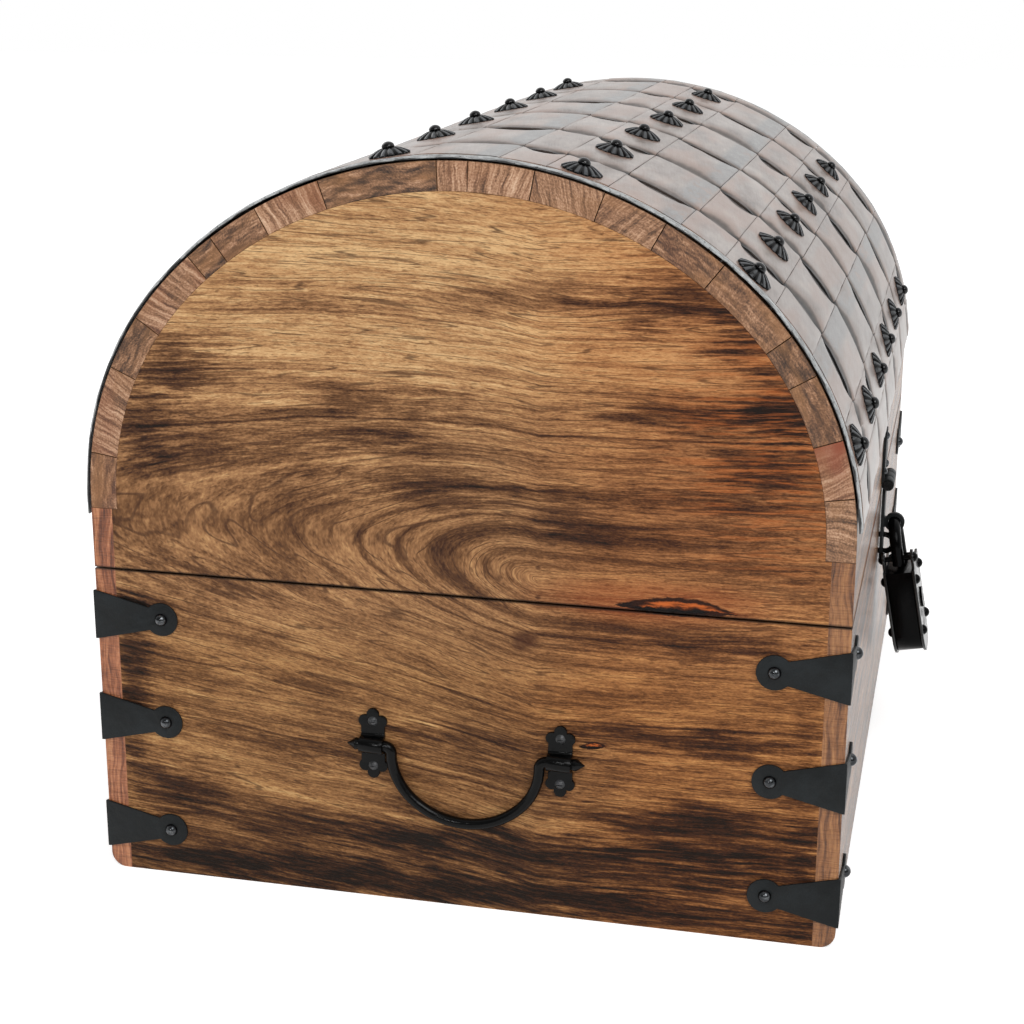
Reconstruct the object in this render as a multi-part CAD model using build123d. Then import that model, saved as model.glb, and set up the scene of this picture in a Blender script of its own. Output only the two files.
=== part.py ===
from build123d import *
from math import asin, cos, degrees, pi, radians, sin, sqrt
import os

# A domed wooden chest with a woven leather cover on its lid, iron corner straps, two bail
# handles, and a hasp that carries a padlock.
# X runs along the chest, the front with the hasp faces -Y, and Z is up.
# The origin is the middle of the underside.

# Chest
chest_length = 490.0
chest_depth = 380.0
parting_height = 166.5
parting_gap = 0.9
arch_rise = 172.9

# Boards and staves
wall_thickness = 11.0
end_thickness = 15.0
bottom_thickness = 12.0
stave_thickness = 14.0
rail_height = 31.5
stave_skirt = 5.5
bottom_edge_radius = 8.0
bottom_edge_limit_share = 0.9
stave_width_shares = (29, 46, 29, 42, 15, 27, 34.5, 58.5, 15, 31.5, 33.5, 31, 32, 44, 21, 32, 59)
back_shoulder_staves = 6
crown_staves = 6

# Woven cover
cover_hinge_gap = 4.0
cover_front_trim = 9.0
edge_band_width = 5.0
edge_band_thickness = 2.4
first_hoop_seam = 56.4
hoop_pitch = 81.7
hoop_gap = 5.0
slat_pitch = 30.4
slat_gap = 0.5
leather_thickness = 0.8
weave_clearance = 0.1
stud_row_step = 3
first_stud_row = 2
stud_rows_short_at_left = 2

# Studs on the cover
washer_radius = 9.7
washer_rise = 2.8
washer_thickness = 0.9
washer_petals = 8
nail_head_radius = 3.3
nail_head_height = 2.9
nail_shank_radius = 1.2
nail_depth = 9.0
nail_hole_clearance = 0.08

# Corner straps
strap_height_shares = (0.15, 0.515, 0.852)
strap_reach = 43.8
strap_width = 26.0
strap_neck_width = 9.0
strap_disc_radius = 8.8
strap_thickness = 1.3

# Handles
handle_offset = 4.3
handle_height_share = 0.514
handle_spacing = 96.0
handle_drop = 37.8
bail_radius = 2.75
bail_bend_radius = 3.6
bail_wall_gap = 0.6
bail_running_clearance = 0.08
bail_side_clearance = 0.4
stub_swell = 0.4
stub_length = 6.5
stub_swell_share = 0.3
bracket_height = 37.5
bracket_waist = 12.2
bracket_thickness = 1.5
bracket_fillet_radius = 1.6
lobe_radius = 3.1
lobe_spread = 4.3
screw_spacing = 24.0
screw_head_radius = 2.5
screw_head_height = 1.5
screw_slot_width = 0.7

# Back hinges
hinge_end_inset = 95.0
hinge_width = 42.0
hinge_leaf_height = 24.0
hinge_leaf_thickness = 1.6
knuckle_radius = 3.5
pin_radius = 1.8
pin_clearance = 0.05
pin_head_radius = 2.8
pin_head_height = 1.2
knuckle_gap = 0.3
knuckle_wall_gap = 0.3
knuckle_sweep_clearance = 0.4
hinge_nail_spread = 14.0
hinge_nail_height_share = 0.62
small_nail_radius = 2.4
small_nail_height = 1.5
small_nail_shank_radius = 0.9

# Hasp
hasp_pin_rise = 5.5
hasp_leaf_width = 26.0
hasp_leaf_height = 30.5
hasp_leaf_shoulder = 9.0
hasp_leaf_tip_width = 7.6
hasp_centre_knuckle_width = 10.0
hasp_strap_width = 18.0
hasp_strap_length = 50.2
hasp_strap_thickness = 1.8
hasp_strap_wall_gap = 0.8
hasp_slot_width = 6.4
hasp_slot_clearance = 1.6
staple_drop = 38.5
staple_wire_radius = 1.6
staple_bend_radius = 5.0
staple_leg_reach = 3.5
staple_depth = 9.0
eye_drop = 25.5
eye_reach = 8.5
eye_thickness = 3.2
eye_rim = 2.1
eye_clearance = 0.12
eye_neck_width = 6.0

# Padlock
padlock_tilt = 11.0
shackle_radius = 3.5
shackle_bend_radius = 12.5
shackle_near_leg = 22.5
shackle_free_leg = 29.0
lock_pivot_drop = 18.5
case_top_drop = 24.0
case_bottom_drop = 77.0
case_width = 44.0
case_corner_radius = 15.0
case_depth = 18.0
case_plate_thickness = 1.6
case_plate_overhang = 1.2
case_band_thickness = 2.5
case_ear_radius = 4.6
case_slot_clearance = 0.4
case_rivet_spread = 15.8
case_rivet_drops = (31.0, 62.0)
rivet_radius = 1.6
rivet_head_radius = 3.0
rivet_head_height = 2.4
keyhole_drop = 47.0
keyhole_cover_radius = 6.0
keyhole_cover_thickness = 1.2
keyhole_radius = 2.0
keyhole_slot_width = 1.8
keyhole_slot_length = 5.5

# How far a cutting tool runs past what it cuts
overrun = 2.0


def arch_radii(half_width, rise):
    """Side radius, sideways shift of the side centres, and crown radius of a three-centre arch."""
    side = (rise - half_width * (sqrt(2) - 1)) / (2 - sqrt(2))
    shift = half_width - side
    return side, shift, side + shift * sqrt(2)


half_length = chest_length / 2
half_depth = chest_depth / 2
side_radius, side_shift, crown_radius = arch_radii(half_depth, arch_rise)
side_run = side_radius * pi / 4
crown_run = crown_radius * pi / 2
arch_run = 2 * side_run + crown_run
base_top = parting_height - parting_gap / 2
lid_bottom = parting_height + parting_gap / 2
rail_top = parting_height + rail_height
spring_height = rail_top + stave_skirt
cover_back_height = parting_height + hinge_leaf_height + cover_hinge_gap
strap_heights = [base_top * share for share in strap_height_shares]
handle_height = base_top * handle_height_share
hinge_spacing = chest_length - 2 * hinge_end_inset
hasp_pin_height = parting_height + hasp_pin_rise
hasp_leaf_top = hasp_pin_height + hasp_leaf_height
hasp_strap_bottom = hasp_pin_height - hasp_strap_length
staple_height = hasp_pin_height - staple_drop
eye_height = hasp_pin_height - eye_drop

# Each outer face of the chest as its own plane: x to the right as seen from outside, y up, z outwards
left_face = Plane(origin=(-half_length, 0, 0), x_dir=(0, -1, 0), z_dir=(-1, 0, 0))
right_face = Plane(origin=(half_length, 0, 0), x_dir=(0, 1, 0), z_dir=(1, 0, 0))
front_face = Plane(origin=(0, -half_depth, 0), x_dir=(1, 0, 0), z_dir=(0, -1, 0))
back_face = Plane(origin=(0, half_depth, 0), x_dir=(-1, 0, 0), z_dir=(0, 1, 0))


def save(name, *pieces):
    """Write one node, each of its pieces a solid of its own."""
    solids = [solid for piece in pieces for solid in piece.solids()]
    shape = solids[0] if len(solids) == 1 else Compound(children=solids)
    export_step(shape, f"parts/{name}.step")


def block(low, high):
    """Box between two opposite corners."""
    size = [b - a for a, b in zip(low, high)]
    return Pos(*low) * Box(*size, align=(Align.MIN, Align.MIN, Align.MIN))


def rod(radius, start, direction, length):
    """Round bar from a point along a direction."""
    return Plane(origin=start, z_dir=direction) * extrude(Circle(radius), length)


def dome(radius, height):
    """Nail head: a cap of a ball, flat side down on z = 0."""
    ball = (radius ** 2 + height ** 2) / (2 * height)
    outline = make_face([
        Line((0, 0), (radius, 0)),
        ThreePointArc(
            (radius, 0),
            (ball * sin(asin(radius / ball) / 2), height - ball * (1 - cos(asin(radius / ball) / 2))),
            (0, height),
        ),
        Line((0, height), (0, 0)),
    ])
    return revolve(Plane.XZ * outline, Axis.Z)


def nail(head_radius, head_height, shank_radius, depth):
    """Domed nail: the head stands on z = 0 and the shank goes down."""
    return dome(head_radius, head_height) + rod(shank_radius, (0, 0, 0), (0, 0, -1), depth)


def nail_hole(shank_radius, depth):
    """Hole that a shank sits in, run out past the surface."""
    radius = shank_radius + nail_hole_clearance
    return rod(radius, (0, 0, overrun), (0, 0, -1), depth + nail_hole_clearance + overrun)


def arch_place(distance, offset):
    """Y, Z and outward angle at a distance along the arch from the back spring line."""
    if distance < 0:
        return half_depth + offset, spring_height + distance, 0
    if distance <= side_run:
        angle = distance / side_radius
        radius = side_radius + offset
        return side_shift + radius * cos(angle), spring_height + radius * sin(angle), angle
    if distance <= side_run + crown_run:
        angle = pi / 4 + (distance - side_run) / crown_radius
        radius = crown_radius + offset
        return radius * cos(angle), spring_height - side_shift + radius * sin(angle), angle
    if distance <= arch_run:
        angle = 3 * pi / 4 + (distance - side_run - crown_run) / side_radius
        radius = side_radius + offset
        return -side_shift + radius * cos(angle), spring_height + radius * sin(angle), angle
    return -half_depth - offset, spring_height - (distance - arch_run), pi


def on_arch(x, distance, offset):
    """Plane on the arch with its z axis outwards."""
    y, z, angle = arch_place(distance, offset)
    return Plane(origin=(x, y, z), x_dir=(1, 0, 0), z_dir=(0, cos(angle), sin(angle)))


def wrap(profile, start, end):
    """Carry an outline of (x, offset) points along the arch between two distances."""
    pieces = []
    if start < 0:
        low = spring_height + start
        height = min(end, 0) - start
        face = make_face(Polyline(*[(x, half_depth + offset, low) for x, offset in profile], close=True))
        pieces.append(extrude(face, height, dir=(0, 0, 1)))
    arcs = (
        (0, side_run, side_shift, spring_height, side_radius, 0),
        (side_run, side_run + crown_run, 0, spring_height - side_shift, crown_radius, 45),
        (side_run + crown_run, arch_run, -side_shift, spring_height, side_radius, 135),
    )
    for first, last, centre_y, centre_z, radius, first_angle in arcs:
        low, high = max(start, first), min(end, last)
        if high <= low:
            continue
        angle = radians(first_angle) + (low - first) / radius
        plane = Plane(
            origin=(0, centre_y, centre_z), x_dir=(1, 0, 0), z_dir=(0, -sin(angle), cos(angle))
        )
        outline = Polyline(*[(x, radius + offset) for x, offset in profile], close=True)
        axis = Axis((0, centre_y, centre_z), (1, 0, 0))
        pieces.append(revolve(plane * make_face(outline), axis, degrees((high - low) / radius)))
    if end > arch_run:
        low = spring_height - (end - arch_run)
        height = end - max(start, arch_run)
        face = make_face(Polyline(*[(x, -half_depth - offset, low) for x, offset in profile], close=True))
        pieces.append(extrude(face, height, dir=(0, 0, 1)))
    solid = pieces[0]
    for piece in pieces[1:]:
        solid = solid + piece
    return solid


def flat_profile(x_low, x_high, inner, outer):
    """Plain rectangle of (x, offset) points."""
    return [(x_low, inner), (x_high, inner), (x_high, outer), (x_low, outer)]


# Where every nail goes: a plane on the surface that its head or washer rests on
def strap_nail_planes():
    """Planes of the two nails of each corner strap, on top of the iron."""
    planes = []
    inset = strap_reach - strap_disc_radius
    for face, half in ((left_face, half_depth), (right_face, half_depth),
                       (front_face, half_length), (back_face, half_length)):
        for side in (-1, 1):
            for height in strap_heights:
                planes.append(face * Plane(origin=(side * (half - inset), height, strap_thickness)))
    return planes


def face_plane(face, x, y, z):
    """Plane parallel to a chest face, at a point given in that face's own axes."""
    return face * Plane(origin=(x, y, z))


# Base
def make_base():
    iron_holes = []
    for plane in strap_nail_planes():
        iron_holes.append(plane * nail_hole(nail_shank_radius, nail_depth))
    for face in (left_face, right_face):
        for x in handle_bracket_places():
            for side in (-1, 1):
                plane = face_plane(face, x, handle_height + side * screw_spacing / 2, bracket_thickness)
                iron_holes.append(plane * nail_hole(nail_shank_radius, nail_depth))
    for plane in hinge_nail_planes(-1):
        iron_holes.append(plane * nail_hole(small_nail_shank_radius, nail_depth))
    for side in (-1, 1):
        leg = face_plane(front_face, 0, staple_height + side * staple_bend_radius, 0)
        iron_holes.append(leg * nail_hole(staple_wire_radius, staple_depth))

    edge_radius = min(bottom_edge_radius, wall_thickness * bottom_edge_limit_share)
    for name, side in (("base_front_board", -1), ("base_back_board", 1)):
        near, far = sorted((side * half_depth, side * (half_depth - wall_thickness)))
        board = block((-half_length, near, 0), (half_length, far, base_top))
        outer_edge = board.edges().filter_by(Axis.X).sort_by(lambda edge: edge.center().Z)[:2]
        outer_edge = outer_edge.sort_by(lambda edge: side * edge.center().Y)[-1:]
        save(name, fillet(outer_edge, edge_radius) - iron_holes)

    inner_depth = half_depth - wall_thickness
    for name, side in (("base_left_end_panel", -1), ("base_right_end_panel", 1)):
        near, far = sorted((side * half_length, side * (half_length - end_thickness)))
        panel = block((near, -inner_depth, 0), (far, inner_depth, base_top))
        save(name, panel - iron_holes)

    inner_length = half_length - end_thickness
    save("bottom_board", block(
        (-inner_length, -inner_depth, 0), (inner_length, inner_depth, bottom_thickness)
    ))


# Corner straps
def strap_arm(face, half, side, height, corner_extra):
    """One arm of a strap, tapering from the chest's corner to its nailed disc."""
    disc_place = strap_reach - strap_disc_radius
    points = [
        (-corner_extra, -strap_width / 2),
        (0, -strap_width / 2),
        (disc_place, -strap_neck_width / 2),
        (disc_place, strap_neck_width / 2),
        (0, strap_width / 2),
        (-corner_extra, strap_width / 2),
    ]
    if corner_extra == 0:
        points = points[1:-1]
    outline = make_face(Polyline(*[(side * (half - along), up) for along, up in points], close=True))
    outline += Pos(side * (half - disc_place), 0) * Circle(strap_disc_radius)
    hole = Circle(nail_shank_radius + nail_hole_clearance)
    outline -= Pos(side * (half - disc_place), 0) * hole
    return face_plane(face, 0, height, 0) * extrude(outline, strap_thickness)


def make_corner_straps():
    corners = (
        ("front_left_corner_straps", left_face, 1, front_face, -1),
        ("front_right_corner_straps", right_face, -1, front_face, 1),
        ("back_left_corner_straps", left_face, -1, back_face, 1),
        ("back_right_corner_straps", right_face, 1, back_face, -1),
    )
    for name, end, end_side, wall, wall_side in corners:
        save(name, *[
            strap_arm(end, half_depth, end_side, height, strap_thickness)
            + strap_arm(wall, half_length, wall_side, height, 0)
            for height in strap_heights
        ])
    one_nail = nail(nail_head_radius, nail_head_height, nail_shank_radius, nail_depth)
    save("corner_strap_nails", *[plane * one_nail for plane in strap_nail_planes()])


# Handles
def handle_bracket_places():
    return [handle_offset + side * handle_spacing / 2 for side in (-1, 1)]


def handle_bracket():
    """Lobed iron plate with a hump over the bail, seated on z = 0 around the pivot."""
    pivot = bail_radius + bail_wall_gap
    bore = bail_radius + bail_running_clearance
    hump = bore + bracket_thickness
    side = Pos(0, pivot) * Circle(hump) + Pos(0, pivot / 2) * Rectangle(2 * hump, pivot)
    side += Pos(0, bracket_thickness / 2) * Rectangle(bracket_height, bracket_thickness)
    feet = [corner for corner in side.vertices()
            if abs(abs(corner.X) - hump) < bracket_thickness / 2
            and abs(corner.Y - bracket_thickness) < bracket_thickness / 2]
    side = fillet(feet, bracket_fillet_radius)
    side -= Pos(0, pivot) * Circle(bore)
    side -= Pos(0, pivot / 2 - overrun / 2) * Rectangle(2 * bore, pivot + overrun)
    reach = bracket_height / 2
    across = Plane(origin=(-reach, 0, 0), x_dir=(0, 1, 0), z_dir=(1, 0, 0))
    strip = across * extrude(side, 2 * reach)

    outline = Rectangle(bracket_waist, screw_spacing)
    for end in (-1, 1):
        outline += Pos(0, end * (reach - lobe_radius)) * Circle(lobe_radius)
        for across_side in (-1, 1):
            outline += Pos(across_side * lobe_spread, end * screw_spacing / 2) * Circle(lobe_radius)
        outline += Pos(0, end * (screw_spacing / 2 + lobe_radius / 2)) * Rectangle(
            2 * lobe_radius, lobe_radius * 2
        )
    for end in (-1, 1):
        outline -= Pos(0, end * screw_spacing / 2) * Circle(nail_shank_radius + nail_hole_clearance)
    return strip & extrude(outline, pivot + hump + overrun)


def handle_screw():
    """Round-headed slotted screw."""
    head = nail(screw_head_radius, screw_head_height, nail_shank_radius, nail_depth)
    slot = block(
        (-screw_head_radius - overrun, -screw_slot_width / 2, screw_head_height / 2),
        (screw_head_radius + overrun, screw_slot_width / 2, screw_head_height + overrun),
    )
    return head - slot


def handle_bail():
    """Round bar: through both brackets, bent down, and hanging in a flat arch."""
    start = handle_spacing / 2 + bracket_waist / 2 + bail_side_clearance
    leg = handle_spacing / 2 - bracket_waist / 2 - bail_side_clearance - bail_bend_radius
    bend_middle = bail_bend_radius * (1 - sqrt(2) / 2)
    depth = handle_drop - bail_bend_radius
    side, shift, bottom = arch_radii(leg, depth)
    top = -bail_bend_radius
    half_turn = radians(22.5)
    quarter = sqrt(2) / 2
    path = Wire([
        Line((-start, 0), (-leg - bail_bend_radius, 0)),
        ThreePointArc((-leg - bail_bend_radius, 0), (-leg - bend_middle, -bend_middle), (-leg, top)),
        ThreePointArc(
            (-leg, top),
            (-shift - side * cos(half_turn), top - side * sin(half_turn)),
            (-shift - side * quarter, top - side * quarter),
        ),
        ThreePointArc(
            (-shift - side * quarter, top - side * quarter),
            (0, top - depth),
            (shift + side * quarter, top - side * quarter),
        ),
        ThreePointArc(
            (shift + side * quarter, top - side * quarter),
            (shift + side * cos(half_turn), top - side * sin(half_turn)),
            (leg, top),
        ),
        ThreePointArc((leg, top), (leg + bend_middle, -bend_middle), (leg + bail_bend_radius, 0)),
        Line((leg + bail_bend_radius, 0), (start, 0)),
    ])
    bar = sweep(Plane(origin=(-start, 0, 0), z_dir=(1, 0, 0)) * Circle(bail_radius), path=path)
    point = revolve(
        make_face(Polyline(
            (0, 0), (0, bail_radius), (stub_length * stub_swell_share, bail_radius + stub_swell),
            (stub_length, 0), close=True,
        )),
        Axis.X,
    )
    for side_sign in (-1, 1):
        tip = point if side_sign > 0 else Rot(0, 0, 180) * point
        bar += Pos(side_sign * start, 0) * tip
    return bar


def make_handles():
    bracket, screw, bail = handle_bracket(), handle_screw(), handle_bail()
    for name, face in (("left", left_face), ("right", right_face)):
        screws = []
        for place, x in zip(("first", "second"), handle_bracket_places()):
            save(f"{name}_handle_{place}_bracket", face_plane(face, x, handle_height, 0) * bracket)
            for side in (-1, 1):
                height = handle_height + side * screw_spacing / 2
                screws.append(face_plane(face, x, height, bracket_thickness) * screw)
        save(f"{name}_handle_screws", *screws)
        pivot = bail_radius + bail_wall_gap
        save(f"{name}_handle_bail", face_plane(face, handle_offset, handle_height, pivot) * bail)


# Knuckled hinges
def along_x(x, y, z):
    """Plane whose z axis runs along the face's x, for bars and knuckles."""
    return Plane(origin=(x, y, z), x_dir=(0, 1, 0), z_dir=(1, 0, 0))


def bar_along_x(radius, low, high, y, z):
    return along_x(low, y, z) * extrude(Circle(radius), high - low)


def knuckled_leaf(plate, zones, other_zones, axis_y, axis_z):
    """Plate with knuckles round its pin, cut clear of the other leaf's knuckles."""
    for low, high in other_zones:
        clear = knuckle_radius + knuckle_sweep_clearance
        plate = plate - bar_along_x(clear, low - knuckle_gap, high + knuckle_gap, axis_y, axis_z)
    for low, high in zones:
        plate = plate + bar_along_x(knuckle_radius, low, high, axis_y, axis_z)
    reach = max(high for low, high in zones + other_zones) + overrun
    return plate - bar_along_x(pin_radius + pin_clearance, -reach, reach, axis_y, axis_z)


def hinge_pin(half_width, axis_y, axis_z):
    """Pin with a flat head at each end."""
    pin = bar_along_x(pin_radius, -half_width, half_width, axis_y, axis_z)
    for side in (-1, 1):
        low, high = sorted((side * half_width, side * (half_width + pin_head_height)))
        pin = pin + bar_along_x(pin_head_radius, low, high, axis_y, axis_z)
    return pin


def knuckle_zones(half_width, centre_width):
    """The two outer knuckles and the centre one, with a running gap between them."""
    outer = [
        (-half_width, -centre_width / 2 - knuckle_gap),
        (centre_width / 2 + knuckle_gap, half_width),
    ]
    return outer, [(-centre_width / 2, centre_width / 2)]


def hinge_nail_planes(side):
    """Planes of a hinge leaf's nails: side -1 is the leaf on the base, 1 is the one on the lid."""
    planes = []
    for hinge_side in (-1, 1):
        for x_side in (-1, 1):
            x = hinge_side * hinge_spacing / 2 + x_side * hinge_nail_spread
            y = parting_height + side * hinge_leaf_height * hinge_nail_height_share
            planes.append(face_plane(back_face, x, y, hinge_leaf_thickness))
    return planes


def make_back_hinges():
    axis_z = knuckle_radius + knuckle_wall_gap
    outer, centre = knuckle_zones(hinge_width / 2, hinge_width / 3)
    half = hinge_width / 2
    base_plate = block(
        (-half, -hinge_leaf_height, 0), (half, -knuckle_gap, hinge_leaf_thickness)
    )
    lid_plate = block((-half, knuckle_gap, 0), (half, hinge_leaf_height, hinge_leaf_thickness))
    hole = Cylinder(
        small_nail_shank_radius + nail_hole_clearance, 2 * (hinge_leaf_thickness + overrun)
    )
    nail_height = hinge_leaf_height * hinge_nail_height_share
    for x_side in (-1, 1):
        base_plate -= Pos(x_side * hinge_nail_spread, -nail_height, 0) * hole
        lid_plate -= Pos(x_side * hinge_nail_spread, nail_height, 0) * hole
    base_leaf = knuckled_leaf(base_plate, outer, centre, 0, axis_z)
    lid_leaf = knuckled_leaf(lid_plate, centre, outer, 0, axis_z)
    pin = hinge_pin(half, 0, axis_z)
    for name, x in (("left", hinge_spacing / 2), ("right", -hinge_spacing / 2)):
        plane = face_plane(back_face, x, parting_height, 0)
        save(f"{name}_hinge_base_leaf", plane * base_leaf)
        save(f"{name}_hinge_lid_leaf", plane * lid_leaf)
        save(f"{name}_hinge_pin", plane * pin)
    small = nail(small_nail_radius, small_nail_height, small_nail_shank_radius, nail_depth)
    save("hinge_base_nails", *[plane * small for plane in hinge_nail_planes(-1)])
    save("hinge_lid_nails", *[plane * small for plane in hinge_nail_planes(1)])


# Lid
def hasp_nail_planes():
    """Planes of the three nails of the hasp's leaf."""
    low = hasp_pin_height + knuckle_radius + small_nail_radius + pin_head_height
    high = hasp_leaf_top - hasp_leaf_shoulder / 2
    places = ((-1, low), (1, low), (0, high))
    spread = hasp_leaf_width / 2 - small_nail_radius - pin_head_height
    return [face_plane(front_face, side * spread, y, hinge_leaf_thickness) for side, y in places]


def hoop_seams():
    """X of the seams between the hoops, with the inner edges of the end bands."""
    low = -half_length + edge_band_width
    high = half_length - edge_band_width
    seams = [low]
    seam = -half_length + first_hoop_seam
    while seam < high - hoop_gap:
        seams.append(seam)
        seam += hoop_pitch
    return seams + [high]


def slat_edges():
    """Distances along the arch of the seams between the slats."""
    start = cover_back_height - spring_height
    end = arch_run - cover_front_trim
    edges = [start]
    while edges[-1] + slat_pitch < end:
        edges.append(edges[-1] + slat_pitch)
    return edges + [end]


under_level = weave_clearance
hoop_level = under_level + leather_thickness + weave_clearance
over_level = hoop_level + leather_thickness + weave_clearance


def slat_is_over(slat, hoop):
    return (slat + hoop) % 2 == 0


def stud_planes():
    """Plane under each petal washer, on whichever layer is on top there."""
    planes = []
    edges = slat_edges()
    for row, slat in enumerate(range(first_stud_row, len(edges) - 1, stud_row_step)):
        distance = (edges[slat] + edges[slat + 1]) / 2
        first_hoop = 1 if row < stud_rows_short_at_left else 0
        for hoop in range(first_hoop, int((chest_length - first_hoop_seam) // hoop_pitch) + 1):
            x = -half_length + first_hoop_seam + (hoop - 0.5) * hoop_pitch
            level = over_level if slat_is_over(slat, hoop) else hoop_level
            planes.append(on_arch(x, distance, level + leather_thickness))
    return planes


def make_woven_cover(stud_holes):
    seams = hoop_seams()
    start, end = slat_edges()[0], slat_edges()[-1]
    hoops = []
    for low, high in zip(seams, seams[1:]):
        profile = flat_profile(
            low + hoop_gap / 2, high - hoop_gap / 2, hoop_level, hoop_level + leather_thickness
        )
        hoops.append(wrap(profile, start, end) - stud_holes)
    save("woven_hoops", *hoops)

    edges = slat_edges()
    slats = []
    for slat, (low, high) in enumerate(zip(edges, edges[1:])):
        lower = []
        for hoop, (left, right) in enumerate(zip(seams, seams[1:])):
            level = over_level if slat_is_over(slat, hoop) else under_level
            inset = hoop_gap / 2 - weave_clearance
            lower += [(left if hoop == 0 else left + inset, level),
                      (right if hoop == len(seams) - 2 else right - inset, level)]
        upper = [(x, level + leather_thickness) for x, level in reversed(lower)]
        strip = wrap(lower + upper, low + slat_gap / 2, high - slat_gap / 2)
        slats.append(strip - stud_holes)
    save("woven_slats", *slats)

    for name, side in (("left_edge_band", -1), ("right_edge_band", 1)):
        low, high = sorted((side * half_length, side * (half_length - edge_band_width + slat_gap)))
        save(name, wrap(flat_profile(low, high, 0, edge_band_thickness), start, end))


def make_staves(stud_holes):
    total = sum(stave_width_shares)
    start = rail_top - spring_height
    length = arch_run - 2 * start
    profile = flat_profile(-half_length, half_length, -stave_thickness, 0)
    staves, at = [], start
    for share in stave_width_shares:
        width = length * share / total
        staves.append(wrap(profile, at, at + width) - stud_holes)
        at += width
    groups = (
        ("back_shoulder_staves", staves[:back_shoulder_staves]),
        ("crown_staves", staves[back_shoulder_staves:back_shoulder_staves + crown_staves]),
        ("front_shoulder_staves", staves[back_shoulder_staves + crown_staves:]),
    )
    for name, members in groups:
        save(name, *members)


def lid_panel_outline():
    """The lid's end panel in Y and Z: it fills the arch inside the rails and staves."""
    rail = half_depth - wall_thickness

    def point(distance):
        y, z, angle = arch_place(distance, -stave_thickness)
        return y, z

    joints = (0, side_run, side_run + crown_run, arch_run)
    arcs = [ThreePointArc(point(a), point((a + b) / 2), point(b)) for a, b in zip(joints, joints[1:])]
    inner = half_depth - stave_thickness
    return make_face([
        Line((-rail, lid_bottom), (rail, lid_bottom)),
        Line((rail, lid_bottom), (rail, rail_top)),
        Line((rail, rail_top), (inner, rail_top)),
        Line((inner, rail_top), (inner, spring_height)),
        *arcs,
        Line((-inner, spring_height), (-inner, rail_top)),
        Line((-inner, rail_top), (-rail, rail_top)),
        Line((-rail, rail_top), (-rail, lid_bottom)),
    ])


def make_lid():
    small_holes = [
        plane * nail_hole(small_nail_shank_radius, nail_depth)
        for plane in hinge_nail_planes(1) + hasp_nail_planes()
    ]
    for name, side in (("lid_front_rail", -1), ("lid_back_rail", 1)):
        near, far = sorted((side * half_depth, side * (half_depth - wall_thickness)))
        rail = block((-half_length, near, lid_bottom), (half_length, far, rail_top))
        save(name, rail - small_holes)

    panel = extrude(Plane.YZ * lid_panel_outline(), end_thickness, dir=(1, 0, 0))
    save("lid_left_end_panel", Pos(-half_length, 0, 0) * panel)
    save("lid_right_end_panel", Pos(half_length - end_thickness, 0, 0) * panel)

    stud_depth = nail_depth + over_level
    stud_holes = [plane * nail_hole(nail_shank_radius, stud_depth) for plane in stud_planes()]
    make_staves(stud_holes + small_holes)
    make_woven_cover(stud_holes)
    make_studs(stud_depth)


def petal_washer():
    """Cupped flower of scalloped petals with a hole for its nail."""
    half_petal = sin(pi / washer_petals)
    petal = washer_radius * half_petal / (1 + half_petal)
    ring = washer_radius - petal
    flower = Circle(ring)
    for step in range(washer_petals):
        angle = 2 * pi * (step + 0.5) / washer_petals
        flower += Pos(ring * cos(angle), ring * sin(angle)) * Circle(petal)
    hole = nail_shank_radius + nail_hole_clearance
    cup = revolve(Plane.XZ * make_face(Polyline(
        (hole, washer_rise), (nail_head_radius, washer_rise), (washer_radius + overrun, 0),
        (washer_radius + overrun, washer_thickness), (nail_head_radius, washer_rise + washer_thickness),
        (hole, washer_rise + washer_thickness), close=True,
    )), Axis.Z)
    return cup & extrude(flower, washer_rise + washer_thickness)


def make_studs(stud_depth):
    washer = petal_washer()
    top = washer_rise + washer_thickness
    stud = nail(nail_head_radius, nail_head_height, nail_shank_radius, stud_depth + top)
    save("petal_washers", *[plane * washer for plane in stud_planes()])
    save("stud_nails", *[plane * (Pos(0, 0, top) * stud) for plane in stud_planes()])


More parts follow.
